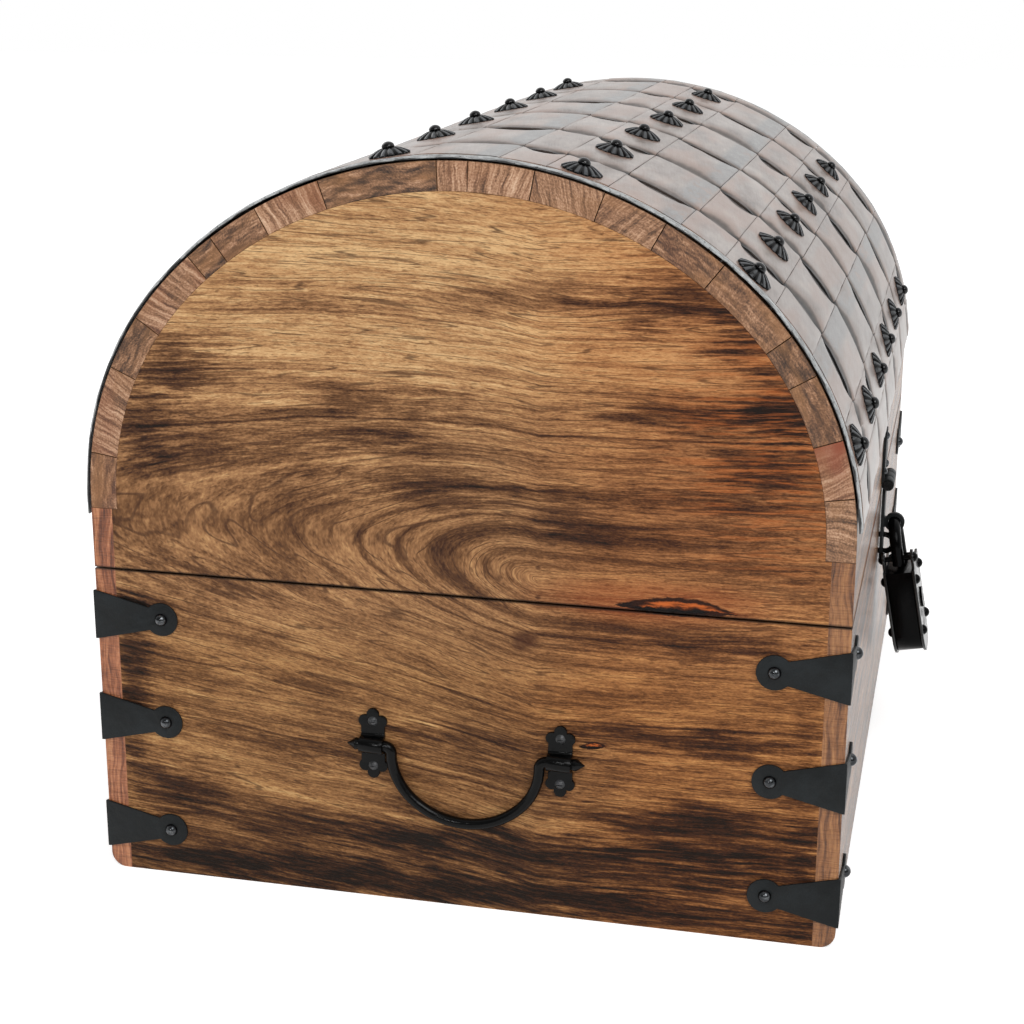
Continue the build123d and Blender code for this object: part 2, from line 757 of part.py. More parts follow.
# Hasp
def make_hasp():
    axis_z = knuckle_radius + knuckle_wall_gap
    half = hasp_leaf_width / 2
    outer, centre = knuckle_zones(half, hasp_centre_knuckle_width)

    shoulder = hasp_leaf_top - hasp_leaf_shoulder
    leaf_outline = make_face(Polyline(
        (-half, hasp_pin_height + knuckle_gap), (half, hasp_pin_height + knuckle_gap),
        (half, shoulder), (hasp_leaf_tip_width / 2, hasp_leaf_top),
        (-hasp_leaf_tip_width / 2, hasp_leaf_top), (-half, shoulder), close=True,
    ))
    leaf = extrude(leaf_outline, hinge_leaf_thickness)
    leaf = knuckled_leaf(leaf, outer, centre, hasp_pin_height, axis_z)
    holes = [plane * nail_hole(small_nail_shank_radius, nail_depth) for plane in hasp_nail_planes()]
    save("hasp_leaf", (front_face * leaf) - holes)
    small = nail(small_nail_radius, small_nail_height, small_nail_shank_radius, nail_depth)
    save("hasp_leaf_nails", *[plane * small for plane in hasp_nail_planes()])
    save("hasp_pin", front_face * hinge_pin(half, hasp_pin_height, axis_z))

    strap_half = hasp_strap_width / 2
    strap_outline = make_face(Polyline(
        (-strap_half, hasp_strap_bottom + strap_half), (strap_half, hasp_strap_bottom + strap_half),
        (strap_half, hasp_pin_height), (-strap_half, hasp_pin_height), close=True,
    ))
    strap_outline += Pos(0, hasp_strap_bottom + strap_half) * Circle(strap_half)
    slot_height = 2 * (staple_bend_radius + staple_wire_radius + hasp_slot_clearance)
    strap_outline -= Pos(0, staple_height) * Rectangle(hasp_slot_width, slot_height)
    strap = Pos(0, 0, hasp_strap_wall_gap) * extrude(strap_outline, hasp_strap_thickness)

    bore = shackle_radius + eye_clearance
    eye_low = -eye_thickness / 2
    ring = along_x(eye_low, eye_height, eye_reach) * extrude(Circle(bore + eye_rim), eye_thickness)
    ring = ring + block(
        (eye_low, eye_height - eye_neck_width / 2, hasp_strap_wall_gap),
        (-eye_low, eye_height + eye_neck_width / 2, eye_reach),
    )
    ring = ring - bar_along_x(bore, eye_low - overrun, -eye_low + overrun, eye_height, eye_reach)
    strap = knuckled_leaf(strap + ring, centre, outer, hasp_pin_height, axis_z)
    save("hasp_strap", front_face * strap)

    low, high = staple_height - staple_bend_radius, staple_height + staple_bend_radius
    path = Wire([
        Line((low, -staple_depth), (low, staple_leg_reach)),
        ThreePointArc(
            (low, staple_leg_reach), (staple_height, staple_leg_reach + staple_bend_radius),
            (high, staple_leg_reach),
        ),
        Line((high, staple_leg_reach), (high, -staple_depth)),
    ])
    upright = Plane(origin=(0, 0, 0), x_dir=(0, 1, 0), z_dir=(1, 0, 0))
    wire_end = Plane(origin=(low, -staple_depth, 0), z_dir=(0, 1, 0)) * Circle(staple_wire_radius)
    save("staple", front_face * (upright * sweep(wire_end, path=path)))


# Padlock, in its own axes: x across, y up from the top of the shackle, z outwards
def case_outline(inset):
    """Shield outline of the case, square at the top and rounded below."""
    half = case_width / 2 - inset
    top = -case_top_drop - inset
    bottom = -case_bottom_drop + inset
    corner = case_corner_radius - inset
    low_corner = bottom + corner
    slant = corner * (1 - sqrt(2) / 2)
    return make_face([
        Line((-half, top), (half, top)),
        Line((half, top), (half, low_corner)),
        ThreePointArc((half, low_corner), (half - slant, bottom + slant), (half - corner, bottom)),
        Line((half - corner, bottom), (corner - half, bottom)),
        ThreePointArc((corner - half, bottom), (slant - half, bottom + slant), (-half, low_corner)),
        Line((-half, low_corner), (-half, top)),
    ])


def rivet_places():
    return [(side * case_rivet_spread, -drop) for side in (-1, 1) for drop in case_rivet_drops]


def through_rivet(radius):
    """Rivet through both plates with a domed head on each."""
    rivet = rod(radius, (0, 0, -case_depth / 2), (0, 0, 1), case_depth)
    head = dome(rivet_head_radius, rivet_head_height)
    rivet = rivet + Pos(0, 0, case_depth / 2) * head
    return rivet + Pos(0, 0, -case_depth / 2) * (Rot(180, 0, 0) * head)


def make_padlock():
    tilt = radians(padlock_tilt)
    frame = Plane(
        origin=(0, -half_depth - eye_reach, eye_height),
        x_dir=(1, 0, 0), z_dir=(0, -cos(tilt), sin(tilt)),
    )
    bend = shackle_bend_radius
    path = Wire([
        Line((-bend, -shackle_near_leg), (-bend, -bend)),
        ThreePointArc((-bend, -bend), (0, 0), (bend, -bend)),
        Line((bend, -bend), (bend, -shackle_free_leg)),
    ])
    section = Plane(origin=(-bend, -shackle_near_leg, 0), z_dir=(0, 1, 0)) * Circle(shackle_radius)
    pivot = (-bend, -lock_pivot_drop)
    shackle = sweep(section, path=path)
    shackle = shackle - Pos(*pivot, 0) * Cylinder(rivet_radius, 2 * case_depth)
    save("padlock_shackle", frame * shackle)

    plate_outline = case_outline(0)
    plate_outline += Pos(*pivot) * Circle(case_ear_radius)
    ear_height = case_top_drop + overrun - lock_pivot_drop
    plate_outline += Pos(-bend, -lock_pivot_drop - ear_height / 2) * Rectangle(
        2 * case_ear_radius, ear_height
    )
    rivet_fit = rivet_radius + nail_hole_clearance
    plate_outline -= Pos(*pivot) * Circle(rivet_fit)
    for x, y in rivet_places():
        plate_outline -= Pos(x, y) * Circle(rivet_fit)
    inner = case_depth / 2 - case_plate_thickness
    keyhole = Pos(0, -keyhole_drop) * Circle(keyhole_radius)
    keyhole += Pos(0, -keyhole_drop - keyhole_slot_length / 2) * Rectangle(
        keyhole_slot_width, keyhole_slot_length
    )
    front_plate = Pos(0, 0, inner) * extrude(plate_outline - keyhole, case_plate_thickness)
    back_plate = Pos(0, 0, -inner - case_plate_thickness) * extrude(plate_outline, case_plate_thickness)
    save("padlock_front_plate", frame * front_plate)
    save("padlock_back_plate", frame * back_plate)

    band_inset = case_plate_overhang + case_band_thickness
    band_outline = case_outline(case_plate_overhang) - case_outline(band_inset)
    slot_low = bend - shackle_radius - case_slot_clearance
    slot_high = case_width / 2 - band_inset
    slot_height = case_plate_overhang + case_band_thickness + overrun
    band_outline -= Pos((slot_low + slot_high) / 2, -case_top_drop - slot_height / 2) * Rectangle(
        slot_high - slot_low, slot_height
    )
    band = Pos(0, 0, -inner) * extrude(band_outline, 2 * inner)
    save("padlock_case_band", frame * band)

    rivet = through_rivet(rivet_radius)
    save("padlock_rivets", *[frame * (Pos(x, y, 0) * rivet) for x, y in rivet_places()])
    save("padlock_pivot_rivet", frame * (Pos(*pivot, 0) * through_rivet(rivet_radius - pin_clearance)))

    cover = Circle(keyhole_cover_radius) - Pos(0, keyhole_drop) * keyhole
    cover = Pos(0, -keyhole_drop, case_depth / 2) * extrude(cover, keyhole_cover_thickness)
    save("padlock_key_plate", frame * cover)


os.makedirs("parts", exist_ok=True)
make_base()
make_corner_straps()
make_handles()
make_back_hinges()
make_lid()
make_hasp()
make_padlock()
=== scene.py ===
import functools
import math

import bmesh
import bpy
import numpy as np
from mathutils import Matrix, Vector


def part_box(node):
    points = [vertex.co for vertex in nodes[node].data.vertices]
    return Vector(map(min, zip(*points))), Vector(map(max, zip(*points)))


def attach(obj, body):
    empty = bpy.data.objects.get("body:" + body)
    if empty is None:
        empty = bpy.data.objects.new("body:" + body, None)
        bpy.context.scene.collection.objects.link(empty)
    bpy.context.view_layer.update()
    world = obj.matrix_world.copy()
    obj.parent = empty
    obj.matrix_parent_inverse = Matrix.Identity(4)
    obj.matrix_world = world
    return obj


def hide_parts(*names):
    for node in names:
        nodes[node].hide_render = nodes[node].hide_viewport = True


# A domed wooden chest with a woven leather cover on its lid and black iron fittings.
# Sizes here are in millimetres, read from the frame where it has them, and meshes are made in metres.

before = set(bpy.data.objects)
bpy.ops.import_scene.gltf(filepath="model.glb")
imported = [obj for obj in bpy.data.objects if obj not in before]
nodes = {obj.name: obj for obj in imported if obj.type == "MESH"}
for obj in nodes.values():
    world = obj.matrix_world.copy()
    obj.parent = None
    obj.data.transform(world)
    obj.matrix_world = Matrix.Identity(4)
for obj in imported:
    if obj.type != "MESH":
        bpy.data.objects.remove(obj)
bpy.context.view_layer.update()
MM = 0.001


def corners(node):
    """Lowest and highest corner of a frame node in millimetres."""
    low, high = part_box(node)
    return low / MM, high / MM


# The chest's main sizes, from the frame
half_length = corners("crown_staves")[1].x
half_depth = corners("base_back_board")[1].y
rail_top = corners("lid_front_rail")[1].z
lid_bottom = corners("lid_front_rail")[0].z
base_top = corners("base_front_board")[1].z
parting = (lid_bottom + base_top) / 2
stave_skirt = 5.5
spring_height = rail_top + stave_skirt
arch_rise = corners("crown_staves")[1].z - spring_height
stave_thickness = 14.0
cover_start = corners("woven_slats")[0].z - spring_height
cover_front_trim = 9.0

side_radius = (arch_rise - half_depth * (math.sqrt(2) - 1)) / (2 - math.sqrt(2))
side_shift = half_depth - side_radius
crown_radius = side_radius + side_shift * math.sqrt(2)
side_run = side_radius * math.pi / 4
crown_run = crown_radius * math.pi / 2
arch_run = 2 * side_run + crown_run
cover_end = arch_run - cover_front_trim

# Woven cover
hoop_pitch = 81.7
first_hoop_seam = 56.4
slat_pitch = 30.4
edge_band_width = 5.0
leather_thickness = 0.8
border_gap = 0.12
over_lap = 3.0
under_gap = 0.3
points_along, points_across = 31, 15
cover_top = 2.4
stud_row_step = 3
first_stud_row = 2
stud_rows_short_at_left = 2


def arch_place(distance, offset):
    """Y, Z and outward angle along the arch from the back spring line, for arrays or numbers."""
    distance = np.asarray(distance, float)
    offset = np.asarray(offset, float)
    angle_back = distance / side_radius
    angle_crown = math.pi / 4 + (distance - side_run) / crown_radius
    angle_front = 3 * math.pi / 4 + (distance - side_run - crown_run) / side_radius
    zones = [distance < 0, distance <= side_run, distance <= side_run + crown_run, distance <= arch_run]
    angle = np.select(zones, [0.0, angle_back, angle_crown, angle_front], math.pi)
    side, crown = side_radius + offset, crown_radius + offset
    radius = np.select(zones, [0.0, side, crown, side], 0.0)
    centre_y = np.select(zones, [half_depth + offset, side_shift, 0.0, -side_shift], -half_depth - offset)
    centre_z = np.select(zones, [spring_height + distance, spring_height, spring_height - side_shift,
                                 spring_height], spring_height - (distance - arch_run))
    return centre_y + radius * np.cos(angle), centre_z + radius * np.sin(angle), angle


def srgb(red, green, blue):
    """Linear colour from 0 to 255 screen values."""
    def linear(value):
        value /= 255
        return value / 12.92 if value <= 0.04045 else ((value + 0.055) / 1.055) ** 2.4
    return linear(red), linear(green), linear(blue), 1.0


def stops(*rows):
    """Colour stops of a ramp from rows of position, red, green and blue."""
    return [(position, srgb(*colour)) for position, *colour in rows]


def arithmetic(operation, swapped=False):
    def method(self, *other):
        return self.graph.math(operation, *((*other, self) if swapped else (self, *other)))
    return method


class Wire:
    """A value on its way through a material, which can be summed like a number."""

    def __init__(self, graph, socket):
        self.graph, self.socket = graph, socket

    __add__ = __radd__ = arithmetic("ADD")
    __sub__ = arithmetic("SUBTRACT")
    __rsub__ = arithmetic("SUBTRACT", swapped=True)
    __mul__ = __rmul__ = arithmetic("MULTIPLY")
    __truediv__ = arithmetic("DIVIDE")
    __pow__ = arithmetic("POWER")
    __abs__ = arithmetic("ABSOLUTE")


class Graph:
    """The nodes of a material or of the world."""

    def __init__(self, owner, output="OutputMaterial"):
        self.owner = owner
        owner.use_nodes = True
        self.tree = owner.node_tree
        self.tree.nodes.clear()
        self.output = self.add(output)

    def add(self, kind, inputs=None, **settings):
        """New shader node with its inputs, which are wires or constants, and its settings."""
        node = self.tree.nodes.new("ShaderNode" + kind)
        for key, value in settings.items():
            setattr(node, key, value)
        for key, value in (inputs or {}).items():
            self.feed(node.inputs[key], value)
        return node

    def feed(self, socket, value):
        if isinstance(value, Wire):
            self.tree.links.new(value.socket, socket)
        else:
            socket.default_value = value

    def wire(self, kind, output, inputs=None, **settings):
        """One output of a new node."""
        return Wire(self, self.add(kind, inputs, **settings).outputs[output])

    def math(self, operation, *values):
        return self.wire("Math", 0, dict(enumerate(values)), operation=operation)

    def least(self, *values):
        return functools.reduce(lambda found, value: self.math("MINIMUM", found, value), values)

    def most(self, *values):
        return functools.reduce(lambda found, value: self.math("MAXIMUM", found, value), values)

    def split(self, wire):
        """X, Y and Z of a vector."""
        return [Wire(self, out) for out in self.add("SeparateXYZ", {0: wire}).outputs]

    def join(self, x, y, z=0.0):
        return self.wire("CombineXYZ", 0, {0: x, 1: y, 2: z})

    def place(self):
        """X, Y and Z in millimetres, fixed to the piece."""
        where = self.wire("TexCoord", "Object")
        inputs = {0: where, "Scale": 1 / MM}
        return self.split(self.wire("VectorMath", 0, inputs, operation="SCALE"))

    def facing(self):
        """The surface's own direction along X, Y and Z."""
        return self.split(self.wire("TexCoord", "Normal"))

    def attributes(self, *names):
        return [
            self.wire("Attribute", "Fac", attribute_type="GEOMETRY", attribute_name=name)
            for name in names
        ]

    def noise(self, x, y, z, detail=2.0, roughness=0.5):
        inputs = {"Vector": self.join(x, y, z), "Scale": 1.0, "Detail": detail, "Roughness": roughness}
        return self.wire("TexNoise", "Fac", inputs, noise_dimensions="3D")

    def cells(self, x, y, z):
        """Distance to the nearest of scattered points."""
        return self.wire("TexVoronoi", "Distance", {"Vector": self.join(x, y, z), "Scale": 1.0},
                         voronoi_dimensions="3D", feature="F1")

    def slope(self, value, low, high, at_low, at_high, shape="LINEAR"):
        """Change from at_low to at_high between low and high, level beyond them."""
        inputs = {"Value": value, "From Min": low, "From Max": high, "To Min": at_low, "To Max": at_high}
        return self.wire("MapRange", "Result", inputs, interpolation_type=shape, clamp=True)

    def step(self, value, low, high):
        """0 below low, 1 above high, smooth between; the other way round when low is the larger."""
        ends = (0.0, 1.0) if low <= high else (1.0, 0.0)
        return self.slope(value, min(low, high), max(low, high), *ends, "SMOOTHSTEP")

    def rays(self):
        """1 for rays from the camera, and 1 for those, mirrored rays and rays through glass."""
        seen = self.add("LightPath").outputs
        camera, mirrored, through = (
            Wire(self, seen[name]) for name in ("Is Camera Ray", "Is Glossy Ray", "Is Transmission Ray")
        )
        return camera, self.most(camera, mirrored, through)

    def mix(self, factor, first, second, blend="MIX"):
        node = self.add("Mix", data_type="RGBA", blend_type=blend, clamp_factor=True)
        colours = [socket for socket in node.inputs if socket.type == "RGBA"]
        for socket, value in zip([node.inputs["Factor"]] + colours, (factor, first, second)):
            self.feed(socket, value)
        return Wire(self, [socket for socket in node.outputs if socket.type == "RGBA"][0])

    def ramp(self, factor, *points):
        """Colour that changes along points of position and colour."""
        node = self.add("ValToRGB", {"Fac": factor})
        elements = node.color_ramp.elements
        while len(elements) < len(points):
            elements.new(0.5)
        for element, (position, colour) in zip(elements, points):
            element.position = position
            element.color = colour
        return Wire(self, node.outputs["Color"])

    def ellipse(self, x, y, centre_x, centre_y, half_x, half_y):
        """Distance from the middle of an ellipse, 1 on its edge."""
        point = self.join((x - centre_x) / half_x, (y - centre_y) / half_y)
        return self.wire("VectorMath", "Value", {0: point}, operation="LENGTH")

    def surface(self, colour, roughness, height, shine=0.5, coat=0.0, coat_roughness=0.03, metal=0.0):
        """Finish the material; height is relief in millimetres and shine the mirror strength."""
        bump = self.wire("Bump", "Normal", {"Strength": 1.0, "Distance": MM, "Height": height})
        inputs = {"Base Color": colour, "Roughness": roughness, "Normal": bump, "Specular IOR Level": shine,
                  "Coat Weight": coat, "Coat Roughness": coat_roughness, "Metallic": metal}
        self.feed(self.output.inputs["Surface"], self.wire("BsdfPrincipled", "BSDF", inputs))
        return self.owner


def material_graph(name):
    return Graph(bpy.data.materials.new(name))


# Wood
WOOD_PALE = srgb(216, 176, 126)
WOOD_LIGHT = srgb(183, 138, 93)
WOOD_MID = srgb(149, 107, 71)
WOOD_BROWN = srgb(111, 76, 48)
WOOD_DARK = srgb(68, 42, 28)
WOOD_BLACK = srgb(28, 19, 14)
WOOD_RED = srgb(140, 66, 34)


def grain(g, along, ring, deep, calm=0.0):
    """Tone, dark pores, growth lines, relief and streaks of open-grained oiled wood.

    along runs with the grain and ring across it, both in millimetres; calm quiets the streaks."""
    band = g.noise(along / 170, ring / 8.0, deep / 70, detail=3, roughness=0.62)
    streak = g.noise(along / 34, ring / 2.2, deep / 30, detail=3, roughness=0.62)
    fleck = g.noise(along / 7.5, ring / 0.95, deep / 12, roughness=0.6)
    grit = g.noise(along / 1.7, ring / 0.6, deep / 4, detail=1)
    cloud = g.noise(along / 48, ring / 20, deep / 60, detail=3, roughness=0.6)
    growth = g.noise(along / 260, ring / 10, deep / 90, roughness=0.45)
    pore = g.noise(along / 5.5, ring / 0.6, deep / 8, detail=1)
    lively = 1.0 - calm * 0.35
    level = g.math("FRACT", growth * 11.0)
    lines = g.step(abs(level - 0.5), 0.09, 0.02) * g.step(streak + fleck, 0.72, 1.06)
    dashes = g.step(fleck, 0.52, 0.64) * 0.13 - g.step(fleck, 0.47, 0.35) * 0.13
    broad = (band - 0.5) * 0.7 * (1.0 - calm * 0.75)
    tone = (0.505 + broad + (streak - 0.5) * lively * 0.5 + dashes * lively * 0.66
            + (grit - 0.5) * 0.34 + (cloud - 0.5) * 0.42)
    pores = g.step(pore, 0.60, 0.70)
    height = (streak - 0.5) * 0.2 + dashes - pores * 0.2 - lines * 0.15
    return tone, pores, lines, height, streak


def wood_ramp(g, tone):
    return g.ramp(
        tone, (0.02, WOOD_BLACK), (0.20, WOOD_DARK), (0.37, WOOD_BROWN), (0.51, WOOD_MID),
        (0.66, WOOD_LIGHT), (0.86, WOOD_PALE),
    )


# Dark patches of the end panel: middle to the right and up from the floor, half sizes, strength
panel_smudges = (
    (-10, 311, 165, 7, 0.22), (60, 318, 70, 5, 0.16), (112, 316, 42, 16, 0.42), (140, 296, 30, 12, 0.5),
    (152, 270, 24, 18, 0.42), (120, 262, 60, 9, 0.34), (150, 240, 32, 14, 0.38), (-146, 276, 30, 15, 0.5),
    (-160, 246, 20, 22, 0.38), (-30, 262, 55, 9, 0.3), (-45, 243, 36, 7, 0.34), (-120, 232, 60, 10, 0.2),
    (-30, 226, 70, 5, 0.26), (95, 222, 70, 6, 0.26), (75, 205, 52, 6, 0.34), (120, 192, 50, 5, 0.2),
    (5, 94, 60, 8, 0.24), (110, 100, 60, 9, 0.3), (-60, 82, 70, 6, 0.14), (45, 70, 90, 7, 0.20),
    (128, 52, 60, 18, 0.5), (-150, 52, 30, 16, 0.34), (-60, 36, 90, 10, 0.34), (60, 30, 120, 12, 0.42),
    (-172, 110, 12, 44, 0.42), (-170, 150, 13, 10, 0.45), (0, 9, 210, 10, 0.5), (172, 70, 9, 60, 0.22),
    (20, 222, 46, 5, 0.2), (-10, 214, 40, 6, 0.26), (62, 152, 44, 4, 0.24), (120, 150, 40, 7, 0.26),
)
# Growth rings round the heart: distance from it, half width, strength
heart_rings = (
    (21.0, 5.0, 0.23), (12.5, 3.0, 0.15), (28.5, 1.2, 0.18), (34.0, 1.0, 0.16), (41.5, 1.4, 0.14),
    (50.0, 0.7, 0.10), (7.5, 1.4, 0.09),
)
long_lines = (71.0, 92.0, 118.0)
# Cracks: middle to the right and up, half width, half height, slant, waver, seed
panel_cracks = ((108.0, 168.9, 31.0, 6.6, 0.0, 2.6, 1.3), (68.5, 94.6, 7.5, 2.6, 0.12, 2.2, 6.1))
# Dark spots: middle to the right and up, half sizes
panel_spots = ((40.5, 184.6, 1.7, 1.3), (40.5, 169.5, 1.8, 1.4), (33.5, 146.5, 7.5, 5.0))
lower_tint = (0.90, 0.86, 0.76, 1.0)
right_tint = (1.04, 0.88, 0.74, 1.0)
upper_right_tint = (0.80, 0.76, 0.76, 1.0)


def crack(g, colour, height, u, v, seed):
    """Open crack shaped like a lens: dark rim and black slit, painted shade in the crack's depth, and a thin
    orange lip above it.
    """
    tear = g.noise(u * 5, v * 1.6, seed, detail=3, roughness=0.6) - 0.5
    v = v + tear * 0.55
    v = g.least(v, v * 1.8)
    taper = 1.0 - abs(u) ** 1.5
    lens = g.step(taper - abs(v), -0.04, 0.10)
    depth = v / g.most(taper, 0.12)
    lip = g.step(depth, 0.0, 0.16) * g.step(depth, 0.72, 0.5) * g.step(u + tear * 0.6, -0.6, -0.35)
    slit = g.step(abs(depth + 0.22), 0.36, 0.18) * g.step(abs(u + 0.12), 0.66, 0.5)
    glow = g.noise(u * 2.4, v * 3.2, seed + 3.0)
    # Dark inside and black slit: painted shade in the crack's depth.
    inside = g.mix(lip * g.step(glow, 0.36, 0.62), srgb(46, 25, 17), srgb(190, 104, 52))
    inside = g.mix(g.most(slit, g.step(u, -0.62, -0.8) * 0.8), inside, srgb(15, 14, 15))
    return g.mix(lens, colour, inside), height - slit * 0.5 - lens * 0.1


def heart_figure(g, tone, ring, near_heart, streak, flutter):
    """Growth rings round the heart and a few long lines outside them."""
    rings = 0.0
    for distance, half_width, strength in heart_rings:
        rings = rings + g.step(abs(ring - distance), half_width, half_width * 0.1) * strength
    tone = tone - rings * near_heart * (0.55 + streak)
    fine = (0.4 + streak * 0.8) * g.step(flutter, -0.28, -0.05)
    for distance in long_lines:
        tone = tone - g.step(abs(ring - distance), 0.9, 0.2) * 0.22 * fine
    return tone


def photographed_tone(g, tone, right, up, z, near_heart, streak, flutter):
    """Pale top, dark foot and dark patches of the end in the photo."""
    tone = tone + g.step(z, 235, 300) * 0.21 - g.step(z, 66, 20) * 0.12 + near_heart * 0.03
    tone = tone - g.step(g.ellipse(right, z, -120, 195, 85, 42), 1.2, 0.5) * 0.05
    ragged = (streak - 0.5) * 1.6 + flutter * 0.8
    for centre, height, half_wide, half_high, strength in panel_smudges:
        near = g.ellipse(right, up, centre, height, half_wide * 1.25, half_high * 1.3)
        tone = tone - g.step(near + ragged, 1.05, 0.1) * (strength * 0.72)
    return tone


def plain_tone(g, tone, right, x, z, side):
    """Clouds and a dark foot for the end that the photo does not show."""
    cloud = g.noise(right / 80, z / 20, x / 50 + 9 * side, detail=3, roughness=0.6)
    return tone - g.step(cloud, 0.5, 0.72) * 0.4 - g.step(z, 50, 8) * 0.3


def photographed_marks(g, colour, height, right, up, z, streak, flutter):
    """Red flame, cracks and dark spots of the end in the photo."""
    flame = g.step(g.ellipse(right, up, 95, 172, 66, 13), 1.15, 0.3)
    colour = g.mix(flame * (0.2 + 0.5 * streak), colour, WOOD_RED)
    for middle, level, half_wide, half_high, slant, waver, seed in panel_cracks:
        u = (right + flutter * 3 - middle) / half_wide
        v = (z + flutter * waver - (right - middle) * slant - level) / half_high
        colour, height = crack(g, colour, height, u, v, seed)
    for middle, level, half_wide, half_high in panel_spots:
        near = g.ellipse(right + flutter * 5, z + flutter * 5, middle, level, half_wide, half_high)
        colour = g.mix(g.step(near, 1.3, 0.4) * 0.75, colour, srgb(62, 32, 22))
    return colour, height


def panel_wood(name, side, patterned):
    """End panel: horizontal grain that swirls round a heart."""
    g = material_graph(name)
    x, y, z = g.place()
    right = y * side
    heart_right, heart_up = (40.0, 179.0) if patterned else (-70.0, 92.0)
    wander = g.noise(right / 190, z / 60, x / 90 + side) - 0.5
    flutter = g.noise(right / 30, z / 9, x / 40 + side) - 0.5
    up = z + wander * 12 + flutter * 1.3 - right * 0.012
    aside = g.most(heart_right - right, 0.0)
    easing = aside / (aside / 200 + 1.0)
    rise = up - heart_up - easing * 0.2
    reach = easing * 0.55
    ring = g.math("SQRT", rise * rise + reach * reach)
    near_heart = g.step(g.ellipse(right, z, heart_right - 25, heart_up, 125, 62), 1.2, 0.5)
    tone, pores, threads, height, streak = grain(g, right, ring, z * 1.4 + 300 * side, near_heart)
    tone = heart_figure(g, tone, ring, near_heart, streak, flutter)
    if patterned:
        tone = photographed_tone(g, tone, right, up, z, near_heart, streak, flutter)
    else:
        tone = plain_tone(g, tone, right, x, z, side)
    colour = wood_ramp(g, tone)
    glow = g.step(g.ellipse(right, z, 150 if patterned else -150, 250, 60, 75), 1.15, 0.3)
    colour = g.mix(glow * g.step(streak, 0.46, 0.62) * 0.5, colour, srgb(190, 112, 56))
    colour = g.mix(threads * 0.7, colour, WOOD_DARK)
    colour = g.mix(pores * 0.45, colour, WOOD_DARK)
    if patterned:
        colour, height = photographed_marks(g, colour, height, right, up, z, streak, flutter)
    colour = g.mix(g.step(z, parting, parting - 50), colour, lower_tint, "MULTIPLY")
    if patterned:
        swayed = right + wander * 120
        colour = g.mix(g.step(swayed, 10, 110), colour, right_tint, "MULTIPLY")
        upper_right = g.step(swayed, 30, 120) * g.step(z, parting, parting + 50)
        colour = g.mix(upper_right, colour, upper_right_tint, "MULTIPLY")
    # Painted shade in the parting gap between lid and base, with some grime.
    seam = g.step(abs(z - parting), 1.5, 0.5)
    colour = g.mix(seam * 0.85, colour, WOOD_BLACK)
    roughness = 0.42 + (streak - 0.5) * 0.25 + pores * 0.2
    return g.surface(colour, roughness, height, shine=0.14)


# Sawn ends of the boards
RED_END = stops((0.26, 70, 36, 24), (0.42, 130, 74, 46), (0.56, 172, 108, 72), (0.74, 200, 140, 98))
TAN_END = stops((0.26, 66, 38, 22), (0.42, 118, 74, 43), (0.56, 150, 100, 60), (0.74, 178, 126, 80))
# Raw edge of the rails: its top above the parting, and where it starts to fade
raw_top, raw_fades = 4.4, 3.4


def board_wood(name, across_axis, seed, end_stops, shift=0.0):
    """Board with its grain along X; its sawn ends show streaks that run up."""
    g = material_graph(name)
    x, y, z = g.place()
    across = z if across_axis == "Z" else y
    deep = y if across_axis == "Z" else z
    wander = g.noise(x / 150, across / 50, deep / 200 + seed) - 0.5
    flutter = g.noise(x / 32, across / 9, deep / 60 + seed) - 0.5
    ring = across + wander * 26 + flutter * 2.4
    tone, pores, threads, height, streak = grain(g, x + 97.0 * seed, ring, deep * 0.3 + 55.0 * seed)
    cloud = g.noise(x / 80, across / 18, seed * 3.1, detail=3, roughness=0.6)
    tone = tone - g.step(cloud, 0.5, 0.74) * 0.3 + shift
    if across_axis == "Z":
        tone = tone - g.step(z, 14, 0) * 0.25
    colour = wood_ramp(g, tone)
    colour = g.mix(threads * 0.6, colour, WOOD_DARK)
    colour = g.mix(pores * 0.55, colour, WOOD_DARK)

    sway = g.noise(y / 30, z / 34, x / 400 + seed) - 0.5
    upright = g.noise((y + sway * 9) / 2.1, z / 42, x / 400 + seed, detail=3, roughness=0.6)
    speck = g.noise(y / 0.8, z / 5, x / 400 + seed)
    end_colour = g.ramp(upright + (speck - 0.5) * 0.35, *end_stops)
    end_face = g.step(abs(g.facing()[0]), 0.6, 0.8)
    colour = g.mix(end_face, colour, end_colour)
    above = g.step(z, parting - 0.5, parting) * g.step(z, parting + raw_top, parting + raw_fades)
    raw = above * (1.0 - end_face)
    colour = g.mix(raw * g.step(cloud, 0.38, 0.62) * 0.75, colour, srgb(150, 90, 50))
    # Painted shade in the parting gap between lid and base, with some grime.
    seam = g.step(abs(z - parting), 1.5, 0.5)
    colour = g.mix(seam * 0.8, colour, WOOD_BLACK)
    roughness = 0.40 + (streak - 0.5) * 0.2 + g.most(raw, seam) * 0.6
    return g.surface(colour, roughness, height, shine=0.4, coat=0.3, coat_roughness=0.18)


STAVE_END = stops((0.16, 38, 27, 21), (0.36, 88, 62, 44), (0.52, 136, 98, 70), (0.68, 182, 141, 110),
                  (0.88, 214, 180, 150))


